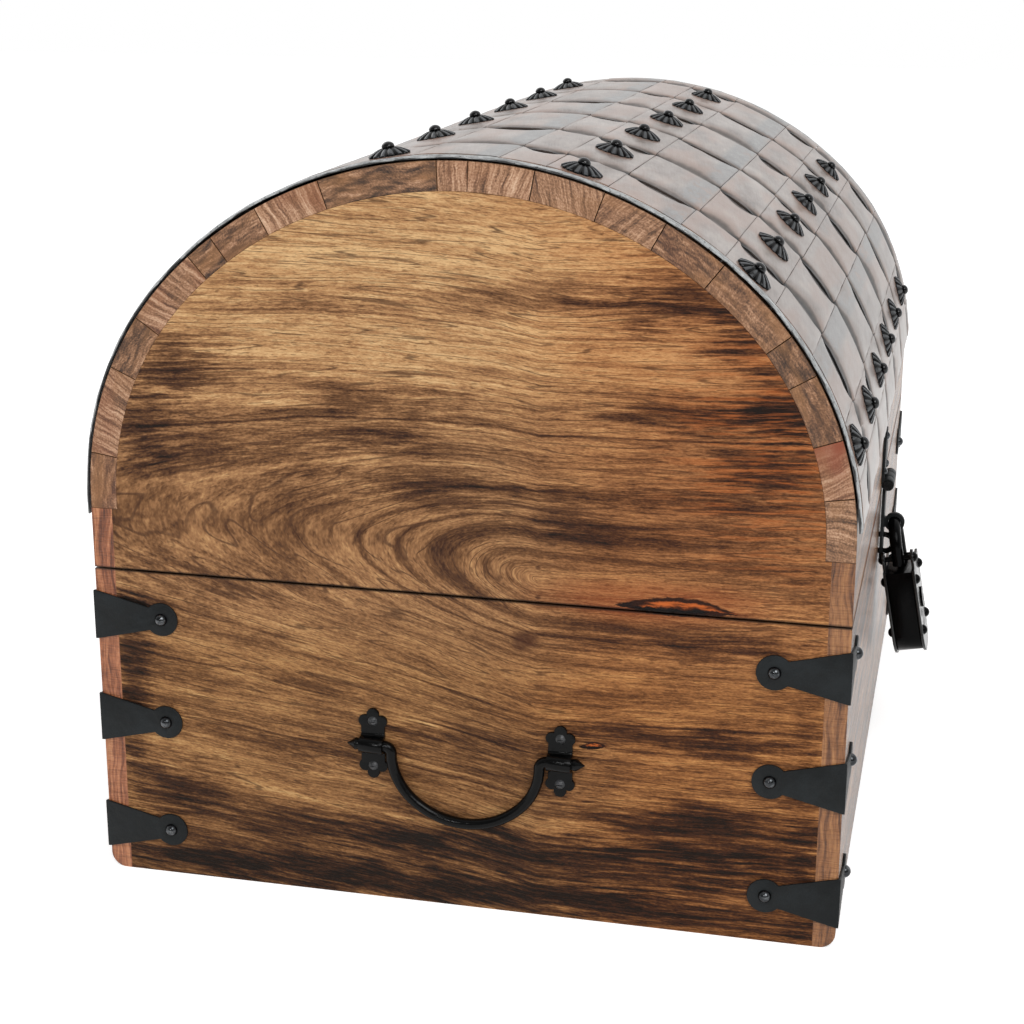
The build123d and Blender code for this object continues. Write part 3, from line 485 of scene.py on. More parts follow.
def stave_wood():
    """Lid staves: each has its own tint and cut, which come from the mesh."""
    g = material_graph("stave_wood")
    x, y, z = g.place()
    run, offset, tint, lean, number, redness, joint = g.attributes(
        "run", "offset", "tint", "lean", "number", "red", "joint")
    slanted = run + offset * lean
    sway = g.noise(slanted / 16, offset / 12, number * 7.3) - 0.5
    radial = g.noise((slanted + sway * 5) / 1.9, offset / 26, number * 3.1, detail=3, roughness=0.62)
    curly = g.noise((slanted + sway * 9) / 11, (offset + sway * 6) / 2.4, number * 5.7, detail=3,
                    roughness=0.62)
    speck = g.noise(slanted / 0.9, offset / 0.9, x / 60)
    plain = g.step(tint, 0.30, 0.62)
    figure = radial * plain + curly * (1.0 - plain)
    value = figure * 1.15 - 0.06 + (speck - 0.5) * 0.5 + (tint - 0.5) * 0.34
    colour = g.ramp(value, *STAVE_END)
    red = g.noise(slanted / 24, offset / 18, number * 2.3, detail=1)
    colour = g.mix((g.step(red, 0.35, 0.7) * 0.5 + 0.1) * redness, colour, srgb(134, 68, 42))
    amber = g.noise(slanted / 40, offset / 10, number * 1.7)
    colour = g.mix(g.step(amber, 0.42, 0.66) * 0.5 * (1.0 - plain * 0.6), colour, srgb(150, 104, 62))
    long_grain = g.noise(x / 60, run / 2.5, number * 4.1, detail=4, roughness=0.65)
    inside = g.ramp(long_grain, (0.25, WOOD_DARK), (0.45, WOOD_BROWN), (0.6, WOOD_MID), (0.8, WOOD_LIGHT))
    end_face = g.step(abs(g.facing()[0]), 0.5, 0.75)
    colour = g.mix(1.0 - end_face, colour, inside)
    colour = g.mix(joint * (0.25 + 0.6 * red), colour, WOOD_BLACK)
    height = (figure - 0.5) * 0.3 + (speck - 0.5) * 0.15
    roughness = 0.42 + (speck - 0.5) * 0.3
    return g.surface(colour, roughness, height, shine=0.35, coat=0.15, coat_roughness=0.25)


# Leather
# The hide's pale greys partly paint in the sheen of its polish.
HIDE = stops((0.34, 92, 78, 70), (0.45, 126, 112, 104), (0.56, 148, 136, 129), (0.68, 172, 160, 152))
RUBBED_GREY = stops((0.3, 80, 80, 80), (0.5, 110, 110, 110), (0.7, 136, 137, 137))
BAND_GREY = stops((0.3, 112, 113, 113), (0.5, 152, 154, 154), (0.7, 186, 188, 188))
front_dark_from, front_dark_to = 380.0, 500.0


def leather(name):
    """Old polished hide: pale greys that partly paint in its sheen, brown below, and black painted shade
    with grime in the valleys.
    """
    g = material_graph(name)
    x, y, z = g.place()
    shade_and_grime, margin, stud_shadow, run = g.attributes("shade_and_grime", "margin", "stud_shadow", "run")
    blotch = g.noise(x / 44, run / 20, 1.7, detail=3, roughness=0.6)
    mottle = g.noise(x / 11, run / 4.5, 4.1, detail=3, roughness=0.65)
    pebble = g.noise(x / 0.8, y / 0.8, z / 0.8, roughness=0.6)
    stroke = g.noise(x / 16, (run + x * 0.2) / 0.9, 6.6)
    hide = g.ramp(blotch * 0.65 + mottle * 0.35 + (stroke - 0.5) * 0.14, *HIDE)
    grey = g.ramp(mottle, *RUBBED_GREY)
    warmth = g.noise(x / 60, run / 20, 12.4)
    hide = g.mix(g.step(warmth, 0.44, 0.62) * 0.5, hide, srgb(152, 116, 97))
    hide = g.mix(margin * g.step(blotch + (mottle - 0.5) * 0.6, 0.3, 0.5) * 0.85, hide, grey)
    fleck = g.cells(x / 3.4, run / 3.4, 2.2)
    specks = g.step(fleck, 0.17, 0.08) * g.step(mottle, 0.44, 0.56) * (0.1 + 0.9 * margin)
    hide = g.mix(specks * 0.85, hide, srgb(36, 33, 32))
    # Brown painted shadow of the studs on the hide.
    hide = g.mix(stud_shadow * g.step(mottle, 0.25, 0.6) * 0.8, hide, srgb(126, 86, 64))
    # Darker towards the front edge of the cover.
    hide = g.mix(g.step(run, front_dark_from, front_dark_to) * 0.3, hide, srgb(92, 84, 79))
    # Painted shade of the seams and gaps, with some grime, from brown through dark brown to black.
    shade_and_dirt = shade_and_grime + (mottle - 0.5) * 0.26
    hide = g.mix(g.step(shade_and_dirt, 0.03, 0.36) * 0.6, hide, srgb(112, 90, 78))
    edge = g.step(shade_and_dirt, 0.22, 0.64)
    hide = g.mix(edge * 0.9, hide, srgb(58, 48, 42))
    deep = g.step(shade_and_dirt, 0.60, 0.92)
    hide = g.mix(deep, hide, srgb(13, 12, 12))
    height = (pebble - 0.5) * 0.07 + (mottle - 0.5) * 0.12 + (stroke - 0.5) * 0.06
    roughness = 0.34 + (mottle - 0.5) * 0.2 + edge * 0.3
    return g.surface(hide, roughness, height, shine=0.42, coat=0.32, coat_roughness=0.24)


def band_leather():
    """Edge band: pale rubbed top and a black cut edge at the end, which also paints in the shade of the gap
    under the band.
    """
    g = material_graph("band_leather")
    x, y, z = g.place()
    run, rise = g.attributes("run", "rise")
    mottle = g.noise(run / 4.5, x / 2, rise / 1.5, detail=3, roughness=0.65)
    nick = g.noise(run / 1.6, x / 1.1, rise)
    colour = g.ramp(mottle, *BAND_GREY)
    # Black cut edge with painted shade of the gap under the band, and black nicks.
    out = g.step(abs(x), half_length - 1.6, half_length - 0.6)
    ragged = (g.noise(run / 13, x / 40, 3.3, detail=3) - 0.5) * 2.6
    cut_edge_shade_and_nicks = out * g.step(rise + ragged, 1.8, 1.2) + g.step(nick, 0.60, 0.68) * 0.6
    colour = g.mix(cut_edge_shade_and_nicks, colour, srgb(17, 16, 16))
    return g.surface(colour, 0.35, (mottle - 0.5) * 0.3, coat=0.4, coat_roughness=0.25)


# Iron
def iron(name, base, worn, roughness, hammer, shine, wear_size=14.0, crest_highlight=None, metal=0.0):
    """Blackened iron with soft dents and lighter rubbed places.

    A fluted piece can get a colour for its crests: a painted highlight."""
    g = material_graph(name)
    x, y, z = g.place()
    dent = g.noise(x / 5.5, y / 5.5, z / 5.5)
    grit = g.noise(x / 0.7, y / 0.7, z / 0.7, detail=3, roughness=0.6)
    cloud = g.noise(x / wear_size, y / wear_size, z / wear_size, detail=3, roughness=0.6)
    colour = g.mix(g.step(cloud + (grit - 0.5) * 0.5, 0.42, 0.72), base, worn)
    if crest_highlight:
        # Painted highlight on the crests of a fluted piece.
        colour = g.mix(g.step(g.attributes("ridge")[0], 0.6, 0.95) * g.step(cloud, 0.3, 0.5), colour, crest_highlight)
    height = (dent - 0.5) * hammer + (grit - 0.5) * 0.06
    rough = (1.0 + (grit - 0.5) * 0.6 + (cloud - 0.5) * 0.5) * roughness
    return g.surface(colour, rough, height, shine, metal=metal)


left_panel = panel_wood("left_panel_wood", -1, True)
right_panel = panel_wood("right_panel_wood", 1, False)
front_wood = board_wood("front_board_wood", "Z", 1.0, TAN_END, -0.12)
back_wood = board_wood("back_board_wood", "Z", 4.0, RED_END, -0.05)
bottom_wood = board_wood("bottom_board_wood", "Y", 7.0, TAN_END)
stave_material = stave_wood()
hoop_leather = leather("hoop_leather")
band_material = band_leather()
strap_iron = iron("strap_iron", srgb(17, 20, 21), srgb(29, 33, 35), 0.5, 0.5, 0.22, 22.0)
black_iron = iron("black_iron", srgb(4, 4, 4), srgb(9, 9, 9), 0.17, 0.2, 0.15)
# The washers' crest colour is a painted highlight.
stud_iron = iron("stud_iron", srgb(4, 4, 5), srgb(16, 17, 18), 0.18, 0.12, 0.17, 6.0, srgb(76, 78, 80))
head_iron = iron("head_iron", srgb(4, 4, 5), srgb(10, 10, 11), 0.1, 0.06, 0.4, 4.0)
nail_iron = iron("nail_iron", srgb(58, 60, 62), srgb(104, 106, 108), 0.16, 0.06, 0.5, 4.0, metal=1.0)
screw_iron = iron("screw_iron", srgb(44, 45, 46), srgb(82, 82, 84), 0.34, 0.3, 0.4, 3.0)
plate_iron = iron("plate_iron", srgb(5, 5, 5), srgb(14, 14, 15), 0.2, 0.12, 0.5)
lock_iron = iron("lock_iron", srgb(2, 2, 2), srgb(5, 5, 6), 0.16, 0.12, 0.07)


# Pieces that keep the frame's shape
kept_finishes = (
    (left_panel, "base_left_end_panel lid_left_end_panel"),
    (right_panel, "base_right_end_panel lid_right_end_panel"),
    (front_wood, "base_front_board lid_front_rail"),
    (back_wood, "base_back_board lid_back_rail"),
    (bottom_wood, "bottom_board"),
    (nail_iron, "corner_strap_nails hinge_base_nails hinge_lid_nails hasp_leaf_nails"),
    (screw_iron, "left_handle_screws right_handle_screws"),
    (black_iron, "left_handle_bail right_handle_bail left_hinge_pin right_hinge_pin hasp_pin staple"),
    (lock_iron, "padlock_rivets padlock_pivot_rivet padlock_key_plate padlock_shackle"),
)
for material, names in kept_finishes:
    for name in names.split():
        slots = nodes[name].data.materials
        if not slots:
            slots.append(material)
        for index in range(len(slots)):
            slots[index] = material


def put(name, data):
    """New object in the scene."""
    obj = bpy.data.objects.new(name, data)
    bpy.context.scene.collection.objects.link(obj)
    return obj


def add_object(name, mesh, body, replaced):
    """Object that rides a body and stands in for a frame node."""
    obj = put(name, mesh)
    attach(obj, body)
    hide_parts(replaced)
    return obj


def new_piece(name, points, faces, material, replaced, fields, smooth_angle=40):
    """Piece of the lid from lists of points in millimetres, with fields of numbers on its points."""
    mesh = bpy.data.meshes.new(name)
    mesh.from_pydata((np.concatenate(points) * MM).tolist(), [], faces)
    for key, values in fields.items():
        layer = mesh.attributes.new(key, "FLOAT", "POINT")
        layer.data.foreach_set("value", np.concatenate(values).astype(np.float32))
    mesh.materials.append(material)
    mesh.shade_smooth()
    mesh.set_sharp_from_angle(angle=math.radians(smooth_angle))
    return add_object(name, mesh, "lid", replaced)


class Cloth:
    """Gathers closed sheets made of a grid of points, each with its fields."""

    def __init__(self, names):
        self.verts, self.faces, self.count = [], [], 0
        self.fields = {name: [] for name in names}

    def add(self, x, s, top, thickness, fields):
        """x, s and top are grids; the sheet has its underside a thickness below and a closed rim."""
        rows, columns = x.shape
        for level in (top, top - thickness):
            y, z, angle = arch_place(s, level)
            self.verts.append(np.stack([x, y, z], -1).reshape(-1, 3))
            for name, values in self.fields.items():
                values.append(np.broadcast_to(fields[name], x.shape).reshape(-1))
        size = rows * columns
        index = np.arange(size).reshape(rows, columns) + self.count
        quads = np.stack([index[:-1, :-1], index[1:, :-1], index[1:, 1:], index[:-1, 1:]], -1).reshape(-1, 4)
        self.faces += quads[:, ::-1].tolist()
        self.faces += (quads + size).tolist()
        rim = np.concatenate([index[0, :-1], index[:-1, -1], index[-1, :0:-1], index[:0:-1, 0]])
        after = np.roll(rim, -1)
        self.faces += np.stack([rim, after, after + size, rim + size], -1)[:, ::-1].tolist()
        self.count += 2 * size

    def make(self, name, replaced):
        new_piece(name, self.verts, self.faces, hoop_leather, replaced, self.fields)


# Woven cover
cover_half = half_length - edge_band_width
hoop_seams = [-cover_half]
while (seam := -half_length + first_hoop_seam + (len(hoop_seams) - 1) * hoop_pitch) < cover_half:
    hoop_seams.append(seam)
hoop_seams.append(cover_half)
border_shifts = {1: 5.0, 4: -4.0, 7: 5.0, 10: 9.0, 13: 6.8, 16: -1.6, 17: 3.2}
slat_borders = []
while (border := cover_start + len(slat_borders) * slat_pitch) < cover_end:
    slat_borders.append(border)
slat_borders = [s + border_shifts.get(k, 0.0) for k, s in enumerate(slat_borders)] + [cover_end]
stud_rows = [
    cover_start + (slat + 0.5) * slat_pitch
    for slat in range(first_stud_row, len(slat_borders) - 1, stud_row_step)
]
stud_columns = [
    -half_length + first_hoop_seam + (hoop - 0.5) * hoop_pitch for hoop in range(len(hoop_seams) - 1)
]
stud_columns = [x for x in stud_columns if x < half_length - hoop_pitch / 2]
# Distance along the arch, X and twist of each stud
stud_places = [
    (row, column, row_index * 1.37 + column_index * 0.71)
    for row_index, row in enumerate(stud_rows)
    for column_index, column in enumerate(stud_columns)
    if column_index > 0 or row_index >= stud_rows_short_at_left
]
margin_width = 12.0
margins = [(slat_borders[border] - margin_width, slat_borders[border]) for border in (4, 10, 13)]
margins += [(slat_borders[border], slat_borders[border] + margin_width) for border in (7, 16)]


def slat_is_over(slat, hoop):
    return (slat + hoop) % 2 == 0


def smooth(value):
    value = np.clip(value, 0, 1)
    return value * value * (3 - 2 * value)


def ripple(values, seed, length):
    """Smooth wander between -1 and 1, the same on every run."""
    values = np.asarray(values, float)
    total = np.zeros_like(values)
    for step in range(1, 5):
        phase = seed * (1.3 + step * 2.1)
        total += np.sin(values * step * 2 * math.pi / length / 1.7 + phase) / step
    return total / 2.08


def spread(count, crowd):
    """From 0 to 1, closer together near both ends."""
    even = np.linspace(0, 1, count)
    return even + crowd * (0.5 - 0.5 * np.cos(math.pi * even) - even)


def border_at(hoop, slat, last):
    """Where the border below a slat lies under one hoop; neighbours share it."""
    shift = 0.0 if slat in (0, last) else 0.7 * math.sin(hoop * 2.9 + slat * 4.7)
    return slat_borders[slat] + shift


def lens_across(slat, across):
    """How wide a tuck opens across a slat; a row of studs pins it shut in the middle."""
    lens = np.sin(math.pi * across) ** 0.8
    if slat % stud_row_step == first_stud_row:
        lens = np.abs(np.sin(2 * math.pi * across)) ** 0.8 * 0.75 + 0.1 * lens
    return lens


def sheet_places(hoop, slat, seed, across, along):
    """X, distance along the arch and distance to the nearer border for the points of one crossing."""
    last_slat, last_hoop = len(slat_borders) - 2, len(hoop_seams) - 2
    s_low = border_at(hoop, slat, last_slat + 1)
    s_high = border_at(hoop, slat + 1, last_slat + 1)
    s = s_low + border_gap + across * (s_high - s_low - 2 * border_gap) + 0 * along
    x_low, x_high = hoop_seams[hoop], hoop_seams[hoop + 1]
    if slat_is_over(slat, hoop):
        left = x_low - (0.0 if hoop == 0 else over_lap)
        right = x_high + (0.0 if hoop == last_hoop else over_lap)
    else:
        bow = 1.6 * np.sin(math.pi * across) + 0.6 * ripple(s, seed, 21.0)
        left = x_low + under_gap - (0.0 if hoop == 0 else 1.0) * bow
        right = x_high - under_gap + (0.0 if hoop == last_hoop else 1.0) * bow
    x = left + along * (right - left) + 0 * s
    if slat == last_slat:
        ragged = 2.2 * ripple(x, 3.0, 47.0) + 1.1 * ripple(x, 8.0, 9.0)
        s = s + across ** 2 * ragged
    if slat == 0:
        s = s + (1 - across) ** 2 * 1.5 * ripple(x, 5.0, 60.0)
    return x, s, np.minimum(s - s_low, s_high - s)


def tuck(top, shade_and_grime, reach, tips, over, lens, front_shade_boost):
    """Top and painted shade with grime beside one seam, where the upper sheet dives and the lower one comes
    out.
    """
    if over:
        dive = 1 - smooth((reach + 1.0) / (5.0 + 21.0 * lens))
        top = top - 2.1 * dive
        # Painted shade where this sheet dives at the seam, and black painted shade in the gap at the seam's
        # tips.
        shade = 0.68 * smooth(dive * 1.1)
        tip_shade = 0.95 * tips * (1 - smooth(reach / 6.0))
    else:
        # Painted shade in the narrow gap beside the seam and at its tips.
        dive = 1 - smooth((reach + 1.0) / (3.0 + 10.0 * lens))
        top = top - 0.9 * dive - 1.1 * tips * (1 - smooth(reach / 5.5))
        shade = 0.48 * smooth(dive * 1.1) + 0.16 * (1 - smooth((reach + 0.2) / 1.6))
        tip_shade = 0.75 * tips * (1 - smooth(reach / 4.0))
    return top, np.maximum(shade_and_grime, front_shade_boost * shade + tip_shade)


def sheet_relief(hoop, slat, seed, x, s, nearest_border, across, along):
    """Height above the wood, and painted shade with grime, of one crossing."""
    over = slat_is_over(slat, hoop)
    wander = 0.12 * ripple(x, seed, 37.0) + 0.10 * ripple(s, seed + 4, 23.0)
    puff = 0.45 * np.sin(math.pi * np.clip(along, 0, 1)) ** 0.8 * np.sin(math.pi * across) ** 0.4
    top = cover_top + 0.3 + puff + wander - 0.2 * (1 - smooth(nearest_border / 0.9))
    # Painted shade lines in the gaps along the borders, uneven along X; the seams' painted shade grows
    # towards the front.
    worn = np.clip(0.55 + 0.6 * ripple(x, seed + 2, 52.0), 0.12, 1.0)
    front_shade_boost = 1.0 + 0.4 * smooth((s - front_dark_from) / (front_dark_to - front_dark_from))
    shade_and_grime = 0.46 * worn * (1 - smooth(nearest_border / 0.6))
    tips = 1 - smooth(nearest_border / 9.0)
    rough_lens = np.clip(lens_across(slat, across) + 0.16 * ripple(s, seed, 15.0), 0, 1)
    for reach, seam in ((x - hoop_seams[hoop], hoop), (hoop_seams[hoop + 1] - x, hoop + 1)):
        if seam not in (0, len(hoop_seams) - 1):
            swell = 1.0 + 0.35 * math.sin(seed * 2.3 + seam * 4.1)
            top, shade_and_grime = tuck(top, shade_and_grime, reach, tips, over, swell * rough_lens, front_shade_boost)
    return top, shade_and_grime


def rubbed_margin(s):
    """1 in the grey margins beside some borders."""
    margin = np.zeros_like(s)
    for low, high in margins:
        margin = np.maximum(margin, smooth(s - low + 0.5) * smooth(high + 0.5 - s))
    return margin


def painted_stud_shadow(x, s):
    """1 round the studs and a little to their left, where the hide gets a brown painted shadow."""
    stud_shadow = np.zeros_like(x)
    for row, column, twist in stud_places:
        reach = np.hypot((x - column + 3.0) / 15.0, (s - row) / 12.0)
        stud_shadow = np.maximum(stud_shadow, 1 - smooth((reach - 0.55) / 0.5))
    return stud_shadow


def make_cover():
    """Hoops and slats of leather that pass over and under each other."""
    names = ("shade_and_grime", "margin", "stud_shadow", "run")
    hoops, slats = Cloth(names), Cloth(names)
    along, across = spread(points_along, 0.9)[:, None], spread(points_across, 0.6)[None, :]
    for hoop in range(len(hoop_seams) - 1):
        for slat in range(len(slat_borders) - 1):
            seed = hoop * 5.3 + slat * 2.7
            x, s, nearest_border = sheet_places(hoop, slat, seed, across, along)
            top, shade_and_grime = sheet_relief(hoop, slat, seed, x, s, nearest_border, across, along)
            fields = {"shade_and_grime": shade_and_grime, "margin": rubbed_margin(s), "stud_shadow": painted_stud_shadow(x, s), "run": s}
            (slats if slat_is_over(slat, hoop) else hoops).add(x, s, top, leather_thickness, fields)
    hoops.make("leather_hoops", "woven_hoops")
    slats.make("leather_slats", "woven_slats")


# Section of the edge band: distance in from the chest's end, height over the cover's top
band_profile = (
    (edge_band_width + 0.6, -0.1), (3.2, 0.55), (1.6, 0.5), (0.5, 0.1), (0.1, -0.5), (0.15, -0.95),
    (1.0, -0.9), (2.6, -0.6), (edge_band_width + 0.4, -1.0),
)


def make_edge_bands():
    """Turned edge of the cover at each end, which lifts off the wood here and there."""
    for name, side in (("left_edge_band", -1), ("right_edge_band", 1)):
        count = 260
        s = np.linspace(cover_start, cover_end, count)
        lift = np.clip(0.5 + 0.9 * ripple(s, 2.0 + side, 150.0), 0, 1.2)
        verts, faces, run, rise = [], [], [], []
        for inset, over_top in band_profile:
            x = half_length - inset
            level = cover_top + over_top + 0.15 * ripple(s, x, 19.0) - (1.2 - lift) * 0.5
            in_out = 0.25 * ripple(s, 9.0 + side, 27.0) if x > half_length - 2 else 0.0 * s
            y, z, angle = arch_place(s, level)
            verts.append(np.stack([side * np.minimum(x + in_out, half_length), y, z], -1))
            run.append(s)
            rise.append(level)
        points = len(band_profile)
        index = np.arange(points * count).reshape(points, count)
        for a in range(points):
            b = (a + 1) % points
            quads = np.stack([index[a, :-1], index[a, 1:], index[b, 1:], index[b, :-1]], -1)
            faces += (quads if side < 0 else quads[:, ::-1]).tolist()
        caps = [index[:, 0], index[::-1, -1]] if side < 0 else [index[::-1, 0], index[:, -1]]
        faces += [cap.tolist() for cap in caps]
        new_piece(name + "_leather", verts, faces, band_material, name,
                  {"run": run, "rise": rise})


# Staves from the back: width share, tint from dark to pale, redness, and how far the figure leans
staves = (
    (29, 0.30, 0.3, 0.1), (46, 0.60, 0.5, -0.3), (29, 0.22, 0.1, 0.5), (42, 0.66, 0.5, 0.25),
    (15, 0.12, 0.1, 0.2), (27, 0.36, 0.2, -0.6), (34.5, 0.72, 0.6, 0.1), (58.5, 0.20, 0.0, 0.7),
    (15, 0.62, 0.2, 0.0), (31.5, 0.70, 0.2, -0.15), (33.5, 0.58, 0.1, 0.5), (31, 0.50, 0.1, -0.5),
    (32, 0.34, 0.2, 0.7), (44, 0.42, 0.1, 0.25), (21, 0.10, 0.0, 0.4), (32, 0.24, 0.1, -0.4),
    (28, 0.66, 1.7, 0.3), (31, 0.52, 0.0, -0.2),
)
stave_groups = (("back_shoulder_staves", 0, 6), ("crown_staves", 6, 12), ("front_shoulder_staves", 12, 18))
stave_fields = ("run", "offset", "tint", "lean", "red", "number", "joint")
stave_joint = 0.1
chamfer = 0.22
# Order of a stave's eight lines of points round its section
section_order = (1, 0, 2, 6, 4, 5, 7, 3)


def stave_lines(number, low, high):
    """Eight lines of points along a stave's edges: at each end, outer and inner of the end face, then
    outer and inner of the sides; and the fields of each point."""
    share, tint, red, lean = staves[number]
    count = max(4, int((high - low) / 4))
    s = np.concatenate([[low], np.linspace(low + chamfer, high - chamfer, count), [high]])
    in_edge = np.where((s == low) | (s == high), chamfer, 0.0)
    verts, fields = [], {key: [] for key in stave_fields}
    for x_side in (-1, 1):
        for x_in, edge_in in ((0.0, chamfer), (chamfer, 0.0)):
            squeeze = np.clip(s, low + edge_in, high - edge_in)
            for offset, toward in ((0.0, -1), (-stave_thickness, 1)):
                level = offset + toward * (in_edge + edge_in)
                y, z, angle = arch_place(squeeze, level)
                verts.append(np.stack([np.full_like(s, x_side * (half_length - x_in)), y, z], -1))
                for key, value in zip(stave_fields, (squeeze, level, tint, lean, red, number, edge_in == 0)):
                    fields[key].append(value + np.zeros_like(s))
    return verts, fields, len(s)


def make_staves():
    start = rail_top - spring_height
    shares = np.cumsum([0.0] + [stave[0] for stave in staves])
    edges = start + (arch_run - 2 * start) * shares / shares[-1]
    for group, first, last in stave_groups:
        verts, faces, total = [], [], 0
        fields = {key: [] for key in stave_fields}
        for number in range(first, last):
            lines, values, points = stave_lines(number, edges[number] + stave_joint / 2,
                                                edges[number + 1] - stave_joint / 2)
            verts += lines
            for key in stave_fields:
                fields[key] += values[key]
            ring = (total + np.arange(8 * points).reshape(8, points))[list(section_order)]
            for a, b in zip(ring, np.roll(ring, -1, axis=0)):
                faces += np.stack([a[:-1], a[1:], b[1:], b[:-1]], -1)[:, ::-1].tolist()
            faces += [ring[:, 0].tolist(), ring[::-1, -1].tolist()]
            total += 8 * points
        name = group.replace("staves", "wood_staves")
        obj = new_piece(name, verts, faces, stave_material, group, fields, 30)
        bm = bmesh.new()
        bm.from_mesh(obj.data)
        bmesh.ops.recalc_face_normals(bm, faces=bm.faces)
        bm.to_mesh(obj.data)
        bm.free()


# Studs
stud_lift = cover_top + 0.6
petals = 14


def turned(reach, angle, height):
    """Points at a reach and angle round an upright axis."""
    return np.stack([reach * np.cos(angle), reach * np.sin(angle), height + 0 * angle], -1)


def ring_quads(first, rings, turns):
    """Faces between rings of points, from the ring that starts at point number first."""
    start = first + np.arange((rings - 1) * turns).reshape(rings - 1, turns)
    after = np.roll(start, -1, axis=1)
    return np.stack([start, start + turns, after + turns, after], -1).reshape(-1, 4)


def washer_shape():
    """Fluted petal washer, drooping to its rim: points, faces and how far each point is on a crest."""
    rings, turns = 9, petals * 8
    radius, rise, thickness = 10.0, 3.4, 0.7
    angle = np.arange(turns) * 2 * math.pi / turns
    petal = np.abs(np.cos(angle * petals / 2))
    verts, crests = [], []
    for side in (0, 1):
        for ring in range(rings):
            t = ring / (rings - 1)
            reach = radius * (0.12 + 0.88 * t) * (1 - t ** 3 * 0.11 * (1 - petal ** 0.8))
            crown = rise * (1 - t ** 1.7)
            flute = (petal ** 0.8 - 0.55) * 1.0 * t * (1.25 - t * 0.5)
            height = crown + flute + 0.3 - side * thickness
            verts.append(turned(reach, angle, height))
            crests.append(petal * min(1.0, 2 * t) * (1 - side))
    faces = ring_quads(0, rings, turns).tolist() + ring_quads(rings * turns, rings, turns)[:, ::-1].tolist()
    for turn in range(turns):
        after = (turn + 1) % turns
        rim, under = (rings - 1) * turns, (2 * rings - 1) * turns
        faces.append([rim + turn, under + turn, under + after, rim + after])
        faces.append([turn, after, rings * turns + after, rings * turns + turn])
    return np.concatenate(verts), faces, np.concatenate(crests)


def head_shape():
    """Round nail head on a short neck."""
    rings, turns = 9, 28
    radius, height, neck, neck_depth, rim = 3.1, 2.8, 1.3, 2.4, 0.45
    outline = [(neck, -neck_depth), (neck, 0.0), (radius * 0.9, 0.0), (radius, rim)]
    outline += [(radius * math.cos(a), rim + (height - rim) * math.sin(a))
                for a in np.linspace(0.16, math.pi / 2 - 0.12, rings)]
    angle = np.arange(turns) * 2 * math.pi / turns
    points = np.concatenate([turned(reach, angle, level) for reach, level in outline])
    faces = ring_quads(0, len(outline), turns)[:, [0, 3, 2, 1]].tolist()
    faces += [list(range(len(points) - turns, len(points))), list(range(turns))[::-1]]
    return points, faces, np.zeros(len(points))


def make_studs():
    for name, shape, lift, material, node in (
        ("shell_washers", washer_shape(), 0.0, stud_iron, "petal_washers"),
        ("domed_studs", head_shape(), 3.5, head_iron, "stud_nails"),
    ):
        points, faces, crests = shape
        all_verts, all_faces = [], []
        for count, (row, column, twist) in enumerate(stud_places):
            turn = twist % (2 * math.pi / petals)
            x = points[:, 0] * math.cos(turn) - points[:, 1] * math.sin(turn)
            s = points[:, 0] * math.sin(turn) + points[:, 1] * math.cos(turn)
            y0, z0, angle = arch_place(row, stud_lift + lift)
            out = points[:, 2]
            y = y0 + out * math.cos(angle) - s * math.sin(angle)
            z = z0 + out * math.sin(angle) + s * math.cos(angle)
            all_faces += [[i + count * len(points) for i in face] for face in faces]
            all_verts.append(np.stack([column + x, y, z], -1))
        fields = {"ridge": [crests] * len(all_verts)}
        new_piece(name, all_verts, all_faces, material, node, fields, 50)


# Ironwork: the frame's own shapes with softened edges
def forged(node, body, material, bevel=0.3):
    """Copy of a frame node with flat faces joined and small round edges."""
    mesh = nodes[node].data.copy()
    mesh.name = node + "_forged"
    bm = bmesh.new()
    bm.from_mesh(mesh)
    bmesh.ops.remove_doubles(bm, verts=bm.verts, dist=0.00002)
    bmesh.ops.dissolve_limit(bm, angle_limit=math.radians(1.5), verts=bm.verts, edges=bm.edges)
    bm.to_mesh(mesh)
    bm.free()
    mesh.materials.clear()
    mesh.materials.append(material)
    mesh.shade_smooth()
    obj = add_object(node + "_forged", mesh, body, node)
    soften = obj.modifiers.new("soft_edges", "BEVEL")
    soften.width = bevel * MM
    soften.segments = 2
    soften.limit_method = "ANGLE"
    soften.angle_limit = math.radians(35)
    soften.harden_normals = True


make_cover()
make_edge_bands()
make_staves()
make_studs()

for corner in ("front_left", "front_right", "back_left", "back_right"):
    forged(corner + "_corner_straps", "base", strap_iron, 0.35)
for side in ("left", "right"):
    for place in ("first", "second"):
        forged(f"{side}_handle_{place}_bracket", "base", black_iron)
    forged(f"{side}_hinge_base_leaf", "base", strap_iron)
    forged(f"{side}_hinge_lid_leaf", "lid", strap_iron)
for node, body in (("hasp_leaf", "lid"), ("hasp_strap", "hasp")):
    forged(node, body, strap_iron)
for node in ("padlock_front_plate", "padlock_back_plate"):
    forged(node, "padlock_case", plate_iron)
forged("padlock_case_band", "padlock_case", lock_iron, 0.6)


# Floor, light and camera, in metres
room_strength = 0.25
soft_light = 0.62
white = (1.0, 1.0, 1.0, 1.0)
floor_colour = (0.9, 0.9, 0.9, 1.0)
floor_glow = 0.5
floor_reach = 6.0
floor_dark_x, floor_bright_x = -1.2, 0.4
sky_dark_x, sky_bright_x = -0.6, 0.3
chest_middle = (0.0, 0.0, 0.2)
camera_place = (-1.11943, -0.23397, 0.47992)
camera_right = (0.23093, -0.97296, 0.00306)
camera_back = (-0.93240, -0.22041, 0.28643)
camera_lens = 69.2


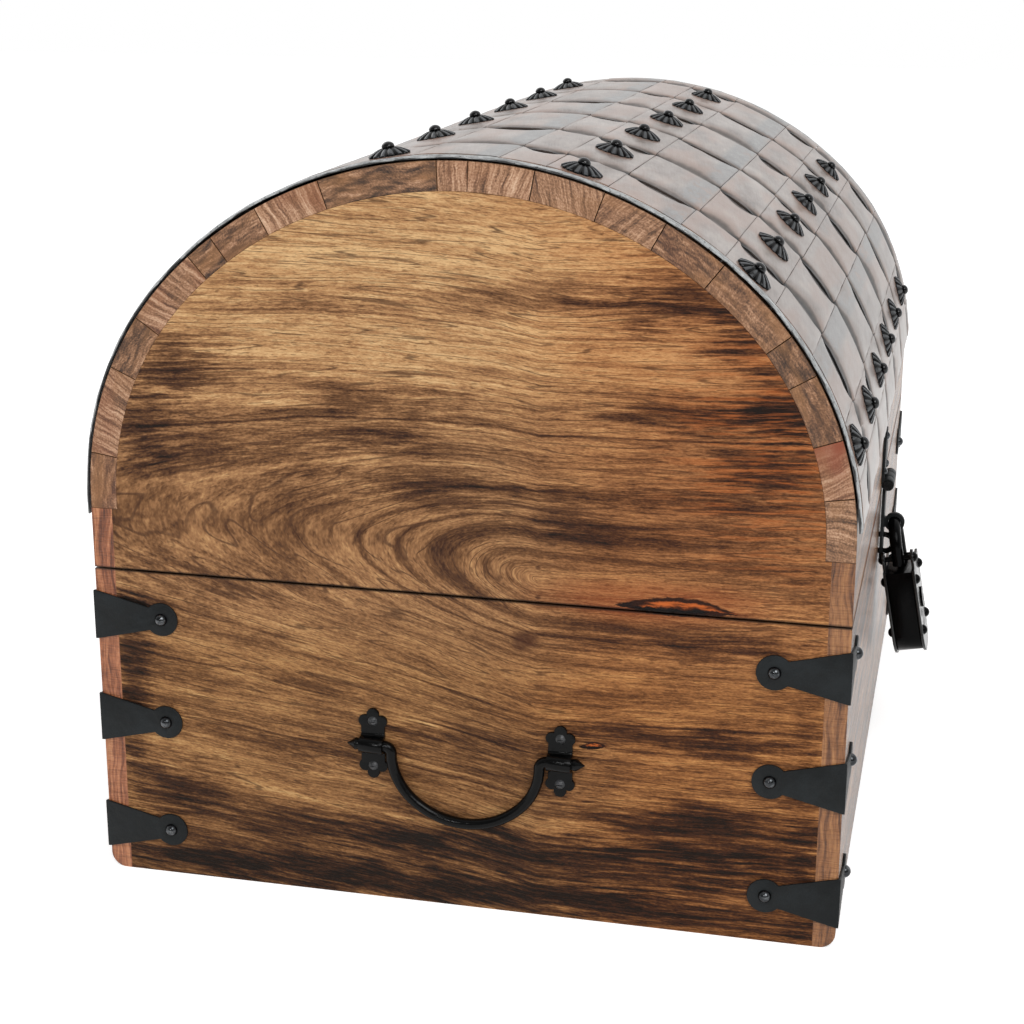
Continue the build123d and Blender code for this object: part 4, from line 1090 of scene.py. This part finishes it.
def make_floor():
    """White ground that looks as bright as the background and darkens only where light is kept off."""
    g = material_graph("floor")
    camera, seen = g.rays()
    x = g.split(g.wire("TexCoord", "Object"))[0]
    room = g.slope(x, floor_dark_x, floor_bright_x, floor_glow * room_strength, floor_glow)
    strength = seen * g.most(room, camera * floor_glow)
    glow = g.wire("Emission", 0, {"Strength": strength})
    diffuse = g.wire("BsdfDiffuse", 0, {"Color": floor_colour})
    g.feed(g.output.inputs["Surface"], g.wire("AddShader", 0, {0: diffuse, 1: glow}))

    mesh = bpy.data.meshes.new("floor")
    corner_signs = ((-1, -1), (1, -1), (1, 1), (-1, 1))
    mesh.from_pydata([(x * floor_reach, y * floor_reach, 0) for x, y in corner_signs], [], [(0, 1, 2, 3)])
    mesh.materials.append(g.owner)
    floor = put("floor", mesh)


def make_world():
    """White to the camera; mirrored rays see it darker beyond the chest's left end."""
    world = bpy.data.worlds.new("studio")
    bpy.context.scene.world = world
    g = Graph(world, "OutputWorld")
    camera, seen = g.rays()
    x = g.split(g.wire("TexCoord", "Generated"))[0]
    strength = g.most(g.slope(x, sky_dark_x, sky_bright_x, room_strength, 1.0), camera)
    seen_white = g.wire("Background", 0, {"Color": white, "Strength": strength})
    soft = g.wire("Background", 0, {"Color": white, "Strength": soft_light})
    g.feed(g.output.inputs["Surface"], g.wire("MixShader", 0, {0: seen, 1: soft, 2: seen_white}))


def make_lamp(name, place, size, power):
    """Round lamp that points at the middle of the chest."""
    data = bpy.data.lights.new(name, "AREA")
    data.shape = "DISK"
    data.size = size
    data.energy = power
    lamp = put(name, data)
    lamp.location = place
    lamp.rotation_mode = "QUATERNION"
    lamp.rotation_quaternion = (Vector(chest_middle) - Vector(place)).to_track_quat("-Z", "Y")


def make_camera():
    data = bpy.data.cameras.new("camera")
    data.sensor_width = 36.0
    data.lens = camera_lens
    camera = put("camera", data)
    right, back = Vector(camera_right).normalized(), Vector(camera_back).normalized()
    up = back.cross(right).normalized()
    turn = Matrix((right, up, back)).transposed()
    camera.matrix_world = Matrix.Translation(camera_place) @ turn.to_4x4()
    bpy.context.scene.camera = camera


make_floor()
make_world()
make_lamp("key", (-2.0, -1.4, 2.3), 1.8, 42.0)
make_lamp("fill", (1.6, 2.4, 1.8), 2.0, 18.0)
make_lamp("sparkle", (-1.5, 0.1, 0.8), 0.16, 2.2)
make_camera()
bpy.context.scene.view_settings.view_transform = "Standard"
